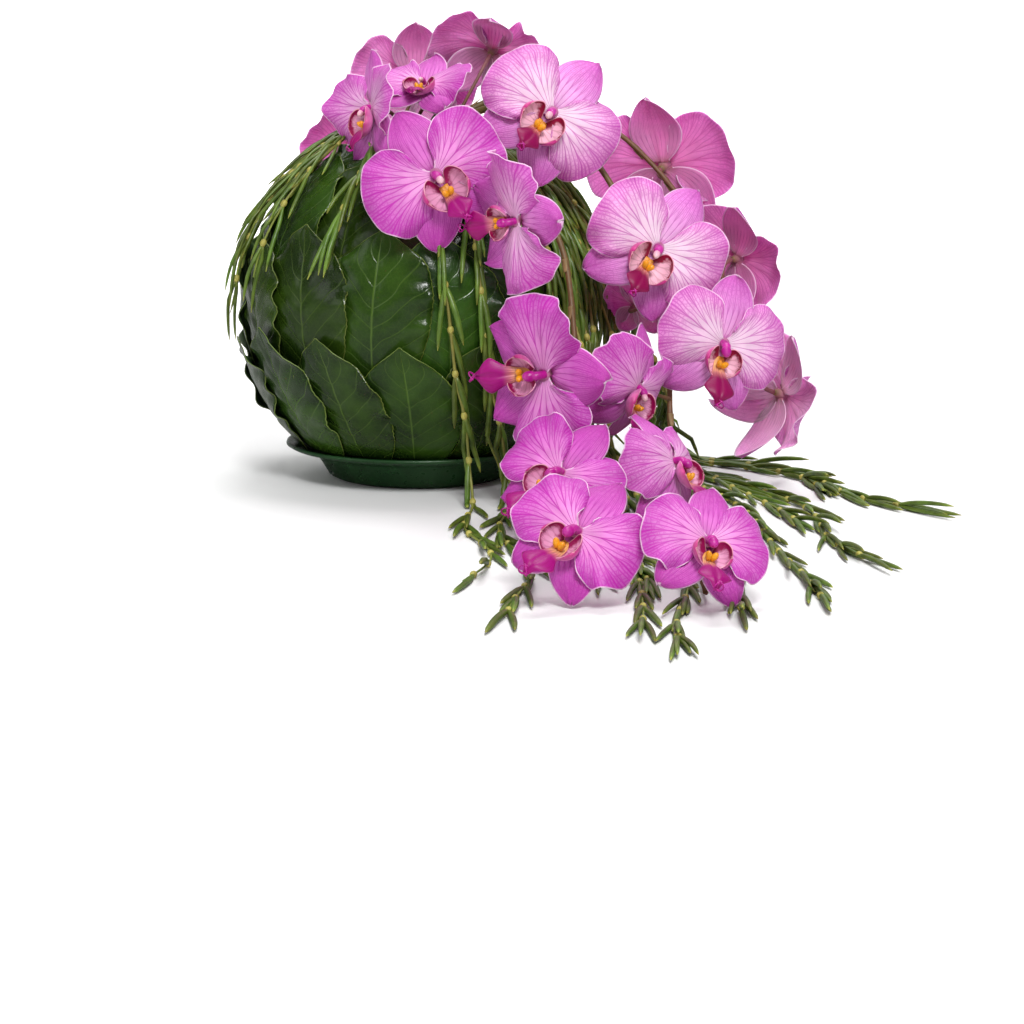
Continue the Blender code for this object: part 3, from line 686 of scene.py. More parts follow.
def make_petal_materials():
    """Petal face, the back of petals and sepals, and sepal face. Each fades from deep to pale by its tone."""
    face = make_petal_face("petal_face", 11.0, 0.26, (
        (0.0, srgb(176, 16, 140)), (0.07, srgb(228, 150, 210)), (0.35, srgb(218, 124, 200)),
        (0.70, srgb(200, 92, 186)), (0.95, srgb(188, 74, 176)), (1.0, srgb(202, 100, 186)),
    ), (
        (0.0, srgb(204, 50, 164)), (0.06, srgb(244, 222, 236)), (0.42, srgb(240, 204, 228)),
        (0.75, srgb(232, 164, 214)), (0.95, srgb(220, 128, 200)), (1.0, srgb(224, 140, 204)),
    ), srgb(180, 8, 160), 0.96)
    sepal = make_petal_face("sepal_face", 9.0, 0.32, (
        (0.0, srgb(180, 60, 156)), (0.12, srgb(214, 112, 196)), (0.5, srgb(202, 84, 186)),
        (0.9, srgb(190, 66, 170)), (1.0, srgb(172, 60, 150)),
    ), (
        (0.0, srgb(214, 100, 190)), (0.12, srgb(244, 190, 234)), (0.5, srgb(236, 156, 224)),
        (0.9, srgb(222, 116, 206)), (1.0, srgb(200, 90, 178)),
    ), srgb(172, 20, 154), 0.84)
    back = make_petal_face("petal_back", 11.0, 0.26, (
        (0.0, srgb(168, 98, 120)), (0.12, srgb(210, 106, 172)), (0.5, srgb(216, 108, 184)),
        (1.0, srgb(214, 104, 186)),
    ), (
        (0.0, srgb(180, 122, 130)), (0.12, srgb(242, 176, 214)), (0.5, srgb(248, 184, 224)),
        (1.0, srgb(244, 170, 220)),
    ), srgb(160, 36, 128), 0.50, back=True)
    return [face, back, sepal]


def make_lip_middle():
    """The middle lobe: amber at its foot, then magenta or crimson with darker stripes."""
    material, helper, shader = new_material("lip_middle", 0.42, Specular_IOR_Level=0.32)
    across, along, margin = helper.grow()
    tip = helper.blend(helper.tone(), srgb(166, 0, 126), srgb(130, 0, 66))
    base = helper.ramp(along, (
        (0.0, srgb(236, 160, 50)), (0.20, srgb(240, 190, 120)), (0.36, srgb(222, 140, 140)),
    ))
    colour = helper.blend(helper.ease(along, 0.30, 0.48), base, tip)
    stripes = fan_veins(helper, across, along, 8.0, 0.2, 0.2, 0.05)
    colour = helper.blend(helper.maths("MULTIPLY", stripes, 0.4), colour, srgb(126, 0, 66))
    colour = rimmed(helper, colour, srgb(226, 90, 170), margin, 0.2, 0.6, 0.35)
    helper.put(shader.inputs["Base Color"], varied(helper, colour))
    grained(helper, shader, 900.0, 0.5, 0.0003)
    return material


def make_lip_side():
    """The side lobes: pink inside with crimson streaks, then a crimson band and a thin cream edge."""
    material, helper, shader = new_material("lip_side", 0.42, Specular_IOR_Level=0.35)
    across, along, margin = helper.grow()
    tone = helper.tone()
    inside = helper.blend(tone, srgb(228, 152, 196), srgb(242, 190, 210))
    deep = helper.blend(tone, srgb(150, 0, 84), srgb(134, 0, 46))
    streaks = fan_veins(helper, across, along, 7.0, 0.3, 0.22, 0.08)
    colour = helper.blend(helper.maths("MULTIPLY", streaks, 0.32), inside, deep)
    edge = helper.maths("ADD", margin, helper.group("mottle", {"Scale": 300.0, "Low": -1.2, "High": 1.2}))
    colour = helper.blend(helper.ease(edge, 2.6, 6.0, 1.0, 0.0), colour, deep)
    colour = rimmed(helper, colour, srgb(236, 176, 186), margin, 0.25, 0.6, 0.7)
    helper.put(shader.inputs["Base Color"], varied(helper, colour))
    grained(helper, shader, 900.0, 0.5, 0.0003)
    return material


def make_lip_outside():
    """The outside of the side lobes: pale pink at the foot, crimson toward the tip."""
    material, helper, shader = new_material("lip_outside", 0.4, Specular_IOR_Level=0.4)
    _, along, margin = helper.grow()
    colour = helper.ramp(along, (
        (0.0, srgb(232, 176, 212)), (0.5, srgb(226, 140, 196)), (1.0, srgb(190, 30, 120)),
    ))
    colour = rimmed(helper, colour, srgb(240, 190, 196), margin, 0.25, 0.6, 0.5)
    helper.put(shader.inputs["Base Color"], varied(helper, mottled(helper, colour, 200.0, 0.8, 1.1)))
    grained(helper, shader, 900.0, 0.5, 0.0003)
    return material


def make_waxy(name, roughness, stops, mottle_scale=200.0, **sockets):
    """A small waxy part whose colour changes along it."""
    material, helper, shader = new_material(name, roughness, **sockets)
    _, along, _ = helper.grow()
    colour = mottled(helper, helper.ramp(along, stops), mottle_scale, 0.86, 1.1)
    helper.put(shader.inputs["Base Color"], varied(helper, colour))
    grained(helper, shader, 800.0, 0.6, 0.0004)
    return material


def make_flower_materials():
    """The materials of a flower, in the order of its finishes."""
    column = make_waxy("column", 0.3, (
        (0.0, srgb(190, 30, 146)), (0.5, srgb(176, 8, 136)), (1.0, srgb(196, 50, 156)),
    ), Specular_IOR_Level=0.5)
    cap = make_waxy("anther_cap", 0.35, (
        (0.0, srgb(214, 110, 166)), (0.5, srgb(226, 164, 188)), (1.0, srgb(232, 190, 194)),
    ), Specular_IOR_Level=0.5)
    callus = make_waxy("callus", 0.3, (
        (0.0, srgb(236, 150, 16)), (0.6, srgb(244, 174, 36)), (1.0, srgb(240, 150, 30)),
    ), Specular_IOR_Level=0.5)
    neck = make_waxy("flower_neck", 0.5, ((0.0, srgb(128, 104, 60)), (1.0, srgb(196, 120, 160))))
    return make_petal_materials() + [
        make_lip_middle(), make_lip_side(), make_lip_outside(), column, cap, callus, neck,
    ]


# ---------------------------------------------------------------- orchids

# A flower's finishes, in the order of its materials.
FACE, BACK, SEPAL, LIP, LOBE, LIP_BACK, COLUMN, CAP, CALLUS, NECK = range(10)


def fan_sheet(rng, length, half_width):
    """A petal laid flat along +X: rays leave a narrow claw and open out to a round margin."""
    rows, columns = PETAL_GRID
    turn = np.radians(np.linspace(-PETAL_SWEEP, PETAL_SWEEP, columns))
    power = PETAL_SQUARENESS
    round_out = (np.abs(np.cos(turn)) ** power + np.abs(np.sin(turn)) ** power) ** (-1 / power)
    wave = 1 + 0.020 * np.sin(3 * turn + rng.uniform(0, 6.3)) + 0.010 * np.sin(8 * turn + rng.uniform(0, 6.3))
    rim = np.stack([
        length * (0.56 + 0.44 * np.cos(turn) * round_out * wave),
        half_width * np.sin(turn) * round_out * wave,
    ], axis=-1)
    foot = np.stack([
        np.full(columns, 0.03 * length), 0.15 * length * np.linspace(-0.5, 0.5, columns),
    ], axis=-1)
    reach = np.linalg.norm(rim - foot, axis=1)
    bend = np.stack([foot[:, 0] + 0.42 * reach, foot[:, 1] + 0.25 * (rim[:, 1] - foot[:, 1])], axis=-1)
    share = np.linspace(0, 1, rows)
    v = (0.55 * share + 0.45 * np.sin(share * math.pi / 2))[:, None, None]
    flat = foot * (1 - v) ** 2 + bend * 2 * v * (1 - v) + rim * v ** 2
    return flat, turn


def petal_sheet(rng, length, half_width, reach):
    """A petal along +X: cupped or swept back by its reach, with a frilled and slightly rolled margin."""
    flat, turn = fan_sheet(rng, length, half_width)
    x, y = flat[..., 0] / length, flat[..., 1] / half_width
    share = np.linspace(0, 1, flat.shape[0])[:, None]
    frill = rng.uniform(0.026, 0.052)
    height = reach * x ** 2 + 0.045 * np.sin(math.pi * x) * (1 - 0.6 * np.abs(y))
    height += rng.uniform(-0.085, 0.01) * y ** 2 * x
    height += rng.uniform(-0.06, 0.06) * y * x ** 2
    height -= 0.014 * np.exp(-(y / 0.10) ** 2) * np.sin(math.pi * np.minimum(x * 1.1, 1))
    height += 0.040 * share ** 2 * np.sin(2 * turn + rng.uniform(0, 6.3))
    height -= rng.uniform(0.010, 0.050) * smoothstep(0.70, 1.0, share) ** 1.5
    height += frill * share ** 4 * np.sin(rng.integers(3, 6) * turn + rng.uniform(0, 6.3))
    height += 0.5 * frill * share ** 7 * np.sin(rng.integers(8, 12) * turn + rng.uniform(0, 6.3))
    return np.dstack([flat, height])


def sepal_sheet(rng, length, half_width, reach):
    """A sepal along +X: pointed oval, its margins rolled a little back."""
    rows, columns = SEPAL_GRID
    along = np.linspace(0, 1, rows)[:, None]
    side = np.linspace(-1, 1, columns)[None, :]
    outline = np.maximum(np.sin(math.pi * along ** 0.92) ** 0.62, 0.30 * (1 - along) ** 2)
    outline = np.maximum(outline, 0.02)
    tip = 0.006 * np.clip(1 - np.abs(side) / 0.35, 0, 1) * along ** 10
    x = length * (0.06 + 0.94 * along) + tip * np.ones_like(side)
    y = half_width * outline * side * (1 + 0.02 * np.sin(9 * along + rng.uniform(0, 6.3)))
    height = reach * along ** 2 + 0.035 * np.sin(math.pi * along) * (1 - 0.6 * np.abs(side))
    height = height - rng.uniform(0.01, 0.06) * side ** 2 * along - 0.010 * np.exp(-(side / 0.12) ** 2)
    height = height + rng.uniform(-0.04, 0.04) * side * along ** 2
    height = height + 0.018 * along ** 2 * side ** 2 * np.sin(7 * along * side + rng.uniform(0, 6.3))
    return np.dstack([x, y, height])


def turned(sheet, angle, layer):
    """The sheet turned about the flower's axis and lifted to its layer."""
    cos, sin = math.cos(math.radians(angle)), math.sin(math.radians(angle))
    x, y, z = sheet[..., 0], sheet[..., 1], sheet[..., 2]
    return np.stack([x * cos - y * sin, x * sin + y * cos, z + layer], axis=-1)


def sized(points, centre, size):
    """The points grown or shrunk about a centre."""
    return np.array(centre) + (points - np.array(centre)) * size


def lip_middle_sheet():
    """The lip's middle lobe: narrow at its base, wide at its two corners, and drawn out to a fine tip."""
    centre = smooth_route(LIP_ROUTE, 29)
    half_width = np.interp(np.linspace(0, 1, len(centre)), LIP_STATIONS, LIP_HALF_WIDTHS)
    half_width = np.convolve(np.pad(half_width, 1, mode="edge"), (0.2, 0.6, 0.2), mode="valid")[:, None]
    side = np.linspace(-1, 1, 15)[None, :]
    above = np.cross(unit(np.gradient(centre, axis=0)), (1.0, 0.0, 0.0))
    sink = 0.30 * half_width * side ** 2 + 0.010 * np.exp(-(side / 0.16) ** 2)
    sheet = centre[:, None] - above[:, None] * sink[..., None]
    sheet[..., 0] += half_width * side
    return sheet


def lip_side_sheet(mirror):
    """A side lobe: its share of a round bowl that opens forward around the column."""
    along = np.linspace(0, 1, 22)[:, None]
    side = np.linspace(-1, 1, 17)[None, :]
    depth = np.radians(14 + 98 * along) + 0 * side
    spread = np.radians(82) * np.maximum(1 - along ** 3.6, 0.002) ** 0.5
    turn = np.radians(-14 + 4 * along) + spread * side
    scallop = 1 + 0.04 * along * np.cos(5 * side + 1.2 * mirror)
    points = np.dstack([
        mirror * BOWL_RADII[0] * np.sin(depth) * np.cos(turn) * scallop,
        BOWL_RADII[1] * np.sin(depth) * np.sin(turn) * scallop,
        -BOWL_RADII[2] * np.cos(depth),
    ])
    return np.array(BOWL_CENTRE) + (points if mirror > 0 else points[:, ::-1])


def curled_horn(mirror):
    """One of the two fine tendrils at the tip of the lip."""
    t = np.linspace(0, 1, 16)[:, None]
    start = lip_middle_sheet()[-1].mean(0)
    angle = 3.9 * t
    out = np.array([mirror * 0.75, -0.62, 0.1])
    back = np.array([mirror * 0.1, 0.30, 0.95])
    return start + 0.030 * (unit(out) * np.sin(angle) + unit(back) * (1 - np.cos(angle))) - 0.002 * out


def add_lip(piece, place, width, tone, broad):
    """Lip, column and the small parts between them. place() takes the flower's points to the row frame.

    A broad lip has a larger middle lobe, smaller side lobes and a stout magenta cap.
    """
    tongue_size, bowl_size = (BROAD_TONGUE, BROAD_BOWL) if broad else (1.0, 1.0)
    tongue = place(sized(lip_middle_sheet()[:, ::-1], LIP_ROUTE[0], tongue_size))
    add_shell(piece, tongue, LIP_THICKNESS, (LIP, LIP), tone)
    for mirror in (-1, 1):
        lobe = place(sized(lip_side_sheet(mirror), BOWL_CENTRE, bowl_size))
        add_shell(piece, lobe, LIP_THICKNESS, (LOBE, LIP_BACK), tone)
        horn = place(sized(curled_horn(mirror), LIP_ROUTE[0], tongue_size))
        add_tube(piece, horn, width * np.linspace(0.0070, 0.0025, len(horn)), 7, COLUMN, tone)
        across = np.array([mirror, 1.0, 1.0])
        tooth = CALLUS_PLACE * across
        axis = unit(place(tooth + CALLUS_AXIS * across) - place(tooth))
        add_blob(piece, place(tooth), axis, 0.074 * width, 0.022 * width, CALLUS, tone)
    route = place(smooth_route(COLUMN_ROUTE, 14))
    radii = np.interp(np.linspace(0, 1, 15), (0, 0.3, 0.7, 0.9, 1), (0.034, 0.030, 0.033, 0.030, 0.014))
    add_tube(piece, route, radii * width, 14, COLUMN, tone, squash=0.88)
    cap = np.array(CAP_PLACE)
    axis = unit(place(cap + np.array(CAP_AXIS)) - place(cap))
    if broad:
        add_blob(piece, place(cap), axis, 0.094 * width, 0.036 * width, COLUMN, tone)
    else:
        add_blob(piece, place(cap), axis, 0.074 * width, 0.024 * width, CAP, tone)


def petal_thickness(fullness):
    """From the thin edge, at 0, to the full thickness, at 1."""
    return PETAL_EDGE_THICKNESS + (PETAL_THICKNESS - PETAL_EDGE_THICKNESS) * fullness


def make_flower(number, spec, materials):
    """One orchid: three sepals, two petals, its lip and the neck that its stalk meets."""
    heart, facing, roll, width, form, _, _ = spec
    rng = np.random.default_rng(SEED + number)
    front = direction(*np.radians(facing))
    right = unit(np.cross((0.0, 0.0, 1.0), front))
    up = np.cross(front, right)
    spin = math.radians(roll)
    across = right * math.cos(spin) + up * math.sin(spin)
    upward = up * math.cos(spin) - right * math.sin(spin)
    axes = np.stack([across, upward, front]) * width

    def place(points):
        return np.array(heart) + points @ axes

    piece = Piece(f"orchid_{number:02d}")
    tone = FLOWER_TONES.get(number, rng.uniform(0.1, 0.7))
    petal_reach, sepal_reach = FLOWER_FORMS[form]
    for angle in SEPAL_ANGLES:
        sheet = sepal_sheet(rng, SEPAL_LENGTH, SEPAL_HALF_WIDTH, sepal_reach + rng.uniform(-0.03, 0.03))
        sheet = place(turned(sheet, angle + rng.uniform(-4, 4), SEPAL_LAYER))
        fullness = np.sin(np.linspace(0, math.pi, sheet.shape[1])) ** 0.5
        add_shell(piece, sheet, petal_thickness(fullness), (SEPAL, BACK), tone)
    for layer, angle in zip(PETAL_LAYERS, PETAL_ANGLES):
        sheet = petal_sheet(rng, PETAL_LENGTH, PETAL_HALF_WIDTH, petal_reach + rng.uniform(-0.04, 0.04))
        sheet = place(turned(sheet, angle + rng.uniform(-4, 4), layer))
        fullness = np.linspace(1, 0, sheet.shape[0])[:, None] ** 0.5
        add_shell(piece, sheet, petal_thickness(fullness), (FACE, BACK), tone)
    lip_size = LIP_SIZES.get(number, 1.0)
    add_lip(piece, lambda points: place(points * lip_size), width * lip_size, tone, number in BROAD_LIPS)
    neck = place(np.stack([np.zeros(8), np.zeros(8), np.linspace(-FLOWER_NECK, 0.02, 8)], axis=-1))
    add_tube(piece, neck, width * np.linspace(0.020, 0.048, 8), 12, NECK, tone)
    set_in_place(piece.build(materials), f"orchid_flower_{number:02d}")


# ---------------------------------------------------------------- spikes

# A spike's finishes, in the order of its materials.
SPIKE, STALK, BRACT = range(3)


def stalk_route(start, heart, facing, width):
    """From the spike in one bend to the back of the flower."""
    front = direction(*np.radians(facing))
    end = np.array(heart) - front * FLOWER_NECK * width
    neck = end - front * STALK_BEND
    t = np.linspace(0, 1, 15)[:, None]
    return start * (1 - t) ** 2 + neck * 2 * t * (1 - t) + end * t ** 2


def add_bract(piece, at, along, outward, size, tone):
    """A small dry scale that clasps the stem below a joint."""
    t = np.linspace(0, 1, 7)[:, None, None]
    side = np.linspace(-1, 1, 7)[None, :, None]
    sideways = np.cross(along, outward)
    wrap = 1.15 * side * (1 - 0.75 * t)
    ring = outward * np.cos(wrap) + sideways * np.sin(wrap)
    sheet = at + along * (t - 0.1) * size + ring * (SPIKE_RADIUS * (1.12 + 0.5 * t ** 2))
    add_shell(piece, sheet, BRACT_THICKNESS, (BRACT, BRACT), tone)


def make_spike(number, knots, materials):
    """A spike that thickens at its joints, a bract at each joint, and a stalk to each of its flowers."""
    rng = np.random.default_rng(SEED + 100 + number)
    route = smooth_route(knots, 4 * len(knots) - 6)
    piece = Piece(f"spike_{number}")
    stem = spaced(smooth_route(knots, 120), SPIKE_STEP)
    radii = SPIKE_RADIUS * np.linspace(1.0, 0.65, len(stem))
    joints = np.arange(SPIKE_JOINT_GAP, len(stem) - 3, SPIKE_JOINT_GAP)
    for joint in joints:
        radii = radii * (1 + 0.22 * np.exp(-((np.arange(len(stem)) - joint) / 0.9) ** 2))
    stem[:, 2] = np.maximum(stem[:, 2], SPIKE_REST)
    frames = carried_frames(stem)
    add_tube(piece, stem, radii, 12, SPIKE, 0.5, frames)
    for joint in joints:
        turn = rng.uniform(0, 2 * math.pi)
        outward = frames[1][joint] * math.cos(turn) + frames[2][joint] * math.sin(turn)
        add_bract(piece, stem[joint], frames[0][joint], outward, BRACT_LENGTH, rng.uniform(0, 1))
    for heart, facing, _, width, _, spike, share in FLOWERS:
        if spike != number:
            continue
        start = route[round(share * (len(route) - 1))]
        stalk = stalk_route(start, heart, facing, width)
        stalk[:, 2] = np.maximum(stalk[:, 2], STALK_REST)
        swell = np.interp(np.linspace(0, 1, len(stalk)), (0, 0.08, 0.7, 1), (1.3, 0.85, 0.95, 1.25))
        add_tube(piece, stalk, STALK_RADIUS * swell, 10, STALK, rng.uniform(0, 1))
    set_in_place(piece.build(materials), f"orchid_spike_{number}")


def make_spike_materials():
    """The materials of a spike, in the order of its finishes."""
    return [
        make_waxy("spike_skin", 0.5, (
            (0.0, srgb(96, 92, 44)), (0.5, srgb(110, 76, 46)), (1.0, srgb(120, 70, 58)),
        )),
        make_waxy("stalk_skin", 0.5, ((0.0, srgb(112, 84, 50)), (1.0, srgb(150, 92, 100)))),
        make_waxy("bract_skin", 0.6, ((0.0, srgb(120, 96, 56)), (1.0, srgb(150, 120, 80)))),
    ]


# ---------------------------------------------------------------- leaves

# A leaf's finishes, in the order of its materials.
LEAF_FACE, LEAF_BACK = range(2)


def leaf_sheet(rng, row, index):
    """One leaf laid on the ball, base first: toothed margins, a sunken midrib, and pillows between veins."""
    count, low, high, turn = row
    rows, columns = LEAF_GRID
    low, high = math.radians(low), math.radians(high)
    spacing = 2 * math.pi / count
    middle = spacing * (index + turn) + rng.uniform(-0.05, 0.05)
    along = np.linspace(0, 1, rows)[:, None]
    side = np.linspace(-1, 1, columns)[None, :]
    lean = rng.uniform(-0.10, 0.10)
    lower_half = 1 - 0.42 * (1 - along / 0.5) ** 2.2
    shoulder = np.where(along < 0.5, lower_half, np.sqrt(1 - (2 * along - 1) ** 2 * 0.96))
    apex = rng.uniform(3.6, 4.5) * (1 - along)
    outline = np.maximum((shoulder ** -6 + np.maximum(apex, 1e-3) ** -6) ** (-1 / 6), 0.02)
    outline = outline * rng.uniform(0.90, 1.10)
    teeth = 1 + 0.010 * np.sin(along * 150) * smoothstep(0.1, 0.3, along) * np.abs(side) ** 8
    latitude = low + (high - low) * along * rng.uniform(0.90, 1.06)
    reach = LEAF_HALF_WIDTH * outline * teeth * side / (LEAF_BASE_RADIUS * np.cos(latitude))
    reach = reach + lean * along ** 2
    radius = LEAF_BASE_RADIUS + LEAF_RISE_PER_RADIAN * (latitude - low)
    radius = radius + LEAF_STEP * (LEAF_STEP_START + reach / spacing)
    if row is LEAF_ROWS[0]:
        radius = radius + LEAF_FLARE * (1 - along) ** 2
    wave = np.sin(along * rng.uniform(8, 13) + rng.uniform(0, 6.3))
    ruffle = np.sin(along * rng.uniform(24, 34) + rng.uniform(0, 6.3)) * np.abs(side) ** 3
    lift = LEAF_WAVE * (0.5 + 0.5 * wave) * np.clip(side, 0, 1) ** 2 + LEAF_RUFFLE * ruffle
    lift = lift + LEAF_UNDER_WAVE * wave * np.clip(-side, 0, 1) ** 2
    radius = radius + lift * smoothstep(0.15, 0.4, along) * smoothstep(1.0, 0.9, along)
    radius = radius + rng.uniform(0.0, LEAF_TIP_LIFT) * smoothstep(0.72, 1.0, along) ** 2
    radius = radius - LEAF_MIDRIB_SINK * np.exp(-(side / 0.09) ** 2) * np.sin(math.pi * along)
    pillow = np.abs(np.sin(math.pi * LEAF_VEINS * (along - LEAF_VEIN_SLOPE / 2 * np.abs(side) + 0.06)))
    radius = radius + LEAF_PILLOW * pillow * (1 - np.abs(side) ** 4) * np.sin(math.pi * along)
    radius = radius - LEAF_SIDE_SINK * np.abs(side) ** 1.5 * np.sin(math.pi * along)
    radius = np.clip(radius, LEAF_INNER_RADIUS, LEAF_OUTER_RADIUS)
    angle = middle + reach
    level = radius * np.cos(latitude)
    return np.dstack([
        BALL_CENTRE[0] + level * np.sin(angle), BALL_CENTRE[1] - level * np.cos(angle),
        BALL_CENTRE[2] + radius * np.sin(latitude),
    ])


def make_leaves(materials):
    """The rows of leaves. A leaf or two in the front of the second row is painted lighter, as a painted
    sheen.
    """
    for number, row in enumerate(LEAF_ROWS, 1):
        for index in range(row[0]):
            rng = np.random.default_rng(SEED + 1000 * number + index)
            piece = Piece(f"leaf_{number}_{index + 1:02d}_blade")
            sheet = leaf_sheet(rng, row, index)[:, ::-1]
            middle = sheet[sheet.shape[0] // 2, sheet.shape[1] // 2]
            # Painted sheen: leaves near the front middle of the second row take a lighter tone.
            painted_sheen = math.exp(-((middle[0] - 0.01) / 0.035) ** 2) * (number == 2 and middle[1] < 0)
            tone = rng.uniform(0, 1) * (1 - painted_sheen) + 1.15 * painted_sheen
            add_shell(piece, sheet, LEAF_THICKNESS, (LEAF_FACE, LEAF_BACK), tone)
            node = f"leaf_1_{index + 1:02d}" if number == 1 else f"leaf_row_{number}"
            set_in_place(piece.build(materials), node)


def make_leaf_materials():
    """Face and back of a leaf: patches of two greens, veins, small brown spots and a pale rim."""
    made = []
    for name, roughness, deep, light, vein in (
        ("leaf_face", 0.22, srgb(13, 30, 5), srgb(46, 70, 16), srgb(100, 126, 50)),
        ("leaf_back", 0.5, srgb(62, 92, 52), srgb(84, 112, 66), srgb(118, 142, 88)),
    ):
        material, helper, shader = new_material(name, roughness, Specular_IOR_Level=0.38, Coat_Roughness=0.10)
        across, along, margin = helper.grow()
        patches = helper.group("mottle", {"Scale": 26.0, "Low": 0.12, "High": 1.0})
        colour = helper.blend(patches, deep, light)
        veins = helper.group("feather_veins", {
            "Across": across, "Along": along, "Count": float(LEAF_VEINS), "Slope": LEAF_VEIN_SLOPE,
            "Width": 0.06, "Rib": 0.016,
        })
        net = helper.maths("MULTIPLY", helper.group("net_veins", {"Scale": 320.0, "Width": 0.1}), 0.12)
        marks = helper.maths("MAXIMUM", veins, net)
        colour = helper.blend(helper.maths("MULTIPLY", marks, 0.36), colour, vein)
        spot = helper.ease(helper.cells(85.0), 0.03, 0.08, 0.6, 0.0)
        colour = helper.blend(spot, colour, srgb(70, 50, 26))
        colour = rimmed(helper, colour, srgb(118, 130, 56), margin, 0.25, 0.7, 0.55)
        helper.put(shader.inputs["Base Color"], varied(helper, colour, 0.03, 0.8))
        if name == "leaf_face":
            helper.put(shader.inputs["Coat Weight"], helper.ease(patches, 0.0, 1.0, 0.06, 0.0))
        grain = helper.group("skin_grain", {"Scale": 500.0, "Amount": 0.35})
        bumped(helper, shader, helper.maths("SUBTRACT", grain, marks), 0.00026, 0.8)
        made.append(material)
    return made


# ---------------------------------------------------------------- vines

# A vine's finishes, in the order of its materials.
VINE_STEM, NEEDLE, JOINT = range(3)


def vine_knots(entry, angle, last, free):
    """From the foam over the leaves down to the last latitude, then through the free points."""
    entry, angle, last = (math.radians(value) for value in (entry, angle, last))
    knots = []
    for share, radius, height in VINE_ENTRY_KNOTS:
        turn = entry + (angle - entry) * share
        knots.append((radius * math.sin(turn), -radius * math.cos(turn), height))
    top = math.radians(VINE_TOP_LATITUDE)
    for share in VINE_BALL_SHARES:
        knots.append(BALL_CENTRE + VINE_CLEARANCE * direction(angle, top + (last - top) * share))
    return knots + list(free)


def kept_clear(points, radius, outer=NO_LIMIT):
    """Points pushed out of the surface below and out of the leafy ball, except near the ball's top opening.

    Above the surface they also keep within the outer distance from the ball's centre.
    """
    away = points - BALL_CENTRE
    distance = np.maximum(np.linalg.norm(away, axis=1), 1e-9)
    needed = np.where(away[:, 2] > OPENING_HEIGHT, 0.0, LEAFY_RADIUS + radius)
    allowed = np.where(points[:, 2] > NEAR_SURFACE, outer, NO_LIMIT)
    scale = np.minimum(np.maximum(needed / distance, 1.0), np.maximum(allowed, needed) / distance)
    points = BALL_CENTRE + away * scale[:, None]
    points[:, 2] = np.maximum(points[:, 2], radius + 0.0002)
    return points


def add_needle(piece, rng, base, along, outward, length, stoutness):
    """One fleshy needle that leaves its joint at a slant and droops."""
    slant = math.radians(rng.uniform(9, 22))
    t = np.linspace(0, 1, 9)[:, None]
    course = along * math.cos(slant) + outward * math.sin(slant)
    droop = along * 0.05 - outward * rng.uniform(0.02, 0.12) + np.array([0.0, 0.0, -0.10])
    outer = max(NEEDLE_OUTER_RADIUS, np.linalg.norm(base - BALL_CENTRE) + 0.004)
    route = kept_clear(base + length * (course * t + droop * t ** 2), NEEDLE_RADIUS, outer)
    tangent = unit(np.gradient(route, axis=0))
    side = unit(np.cross(tangent, np.cross(outward, along)))
    share = t[:, 0]
    radii = NEEDLE_RADIUS * np.minimum(0.45 + 2.4 * share, 1) * np.sqrt(np.clip(1.02 - share ** 4.5, 0.01, 1))
    frames = (tangent, side, np.cross(tangent, side))
    add_tube(piece, route, radii * stoutness * rng.uniform(0.8, 1.05), 7, NEEDLE, rng.uniform(0, 1), frames)


def make_vine(number, spec, materials):
    """Strands that spread from one route, with a joint and its needles at even distances along each."""
    rng = np.random.default_rng(SEED + 200 + number)
    strands, fewest, most, stoutness = VINE_HABITS[number - 1]
    route = spaced(smooth_route(vine_knots(*spec), 160), VINE_STEP)
    tangent = unit(np.gradient(route, axis=0))
    outward = unit(route - BALL_CENTRE)
    on_floor = smoothstep(0.05, 0.02, route[:, 2])[:, None]
    outward = unit(outward * (1 - on_floor) + np.array([0.0, 0.0, 1.0]) * on_floor)
    sideways = unit(np.cross(tangent, outward))
    travelled = np.arange(len(route)) * VINE_STEP
    piece = Piece(f"vine_{number:02d}_strands")
    for strand in range(strands):
        end = int(len(route) * (0.93 if strand == 0 else rng.uniform(0.5, 0.85)))
        lane = (strand - (strands - 1) / 2) * STRAND_SPACING + rng.uniform(-0.003, 0.003)
        sway = 0.004 * np.sin(travelled / rng.uniform(0.03, 0.05) + rng.uniform(0, 6.3))
        spread = smoothstep(0.03, 0.12, travelled)
        lift = rng.uniform(-0.002, 0.001) * spread
        line = route + sideways * ((lane + sway) * spread)[:, None] + outward * lift[:, None]
        line = kept_clear(line, VINE_RADIUS + 0.0012)[:end]
        frames = carried_frames(line)
        radii = VINE_RADIUS * np.linspace(1.15, 0.6, len(line))
        joints = np.arange(6 + strand, len(line), round(JOINT_SPACING / VINE_STEP))
        for joint in joints:
            radii = radii * (1 + 0.35 * np.exp(-((np.arange(len(line)) - joint) / 0.5) ** 2))
        add_tube(piece, line, radii, 8, VINE_STEM, rng.uniform(0, 1), frames)
        for joint in joints:
            first = rng.uniform(0, 2 * math.pi)
            count = int(rng.integers(fewest, most + 1))
            for needle in range(count):
                turn = first + 2 * math.pi * needle / count + rng.uniform(-0.3, 0.3)
                out = frames[1][joint] * math.cos(turn) + frames[2][joint] * math.sin(turn)
                length = rng.uniform(*NEEDLE_LENGTHS)
                add_needle(piece, rng, line[joint], frames[0][joint], out, length, stoutness)
            tone = rng.uniform(0, 1)
            add_blob(piece, line[joint], frames[0][joint], JOINT_LENGTH, JOINT_RADIUS, JOINT, tone)
    set_in_place(piece.build(materials), f"trailing_vine_{number:02d}")


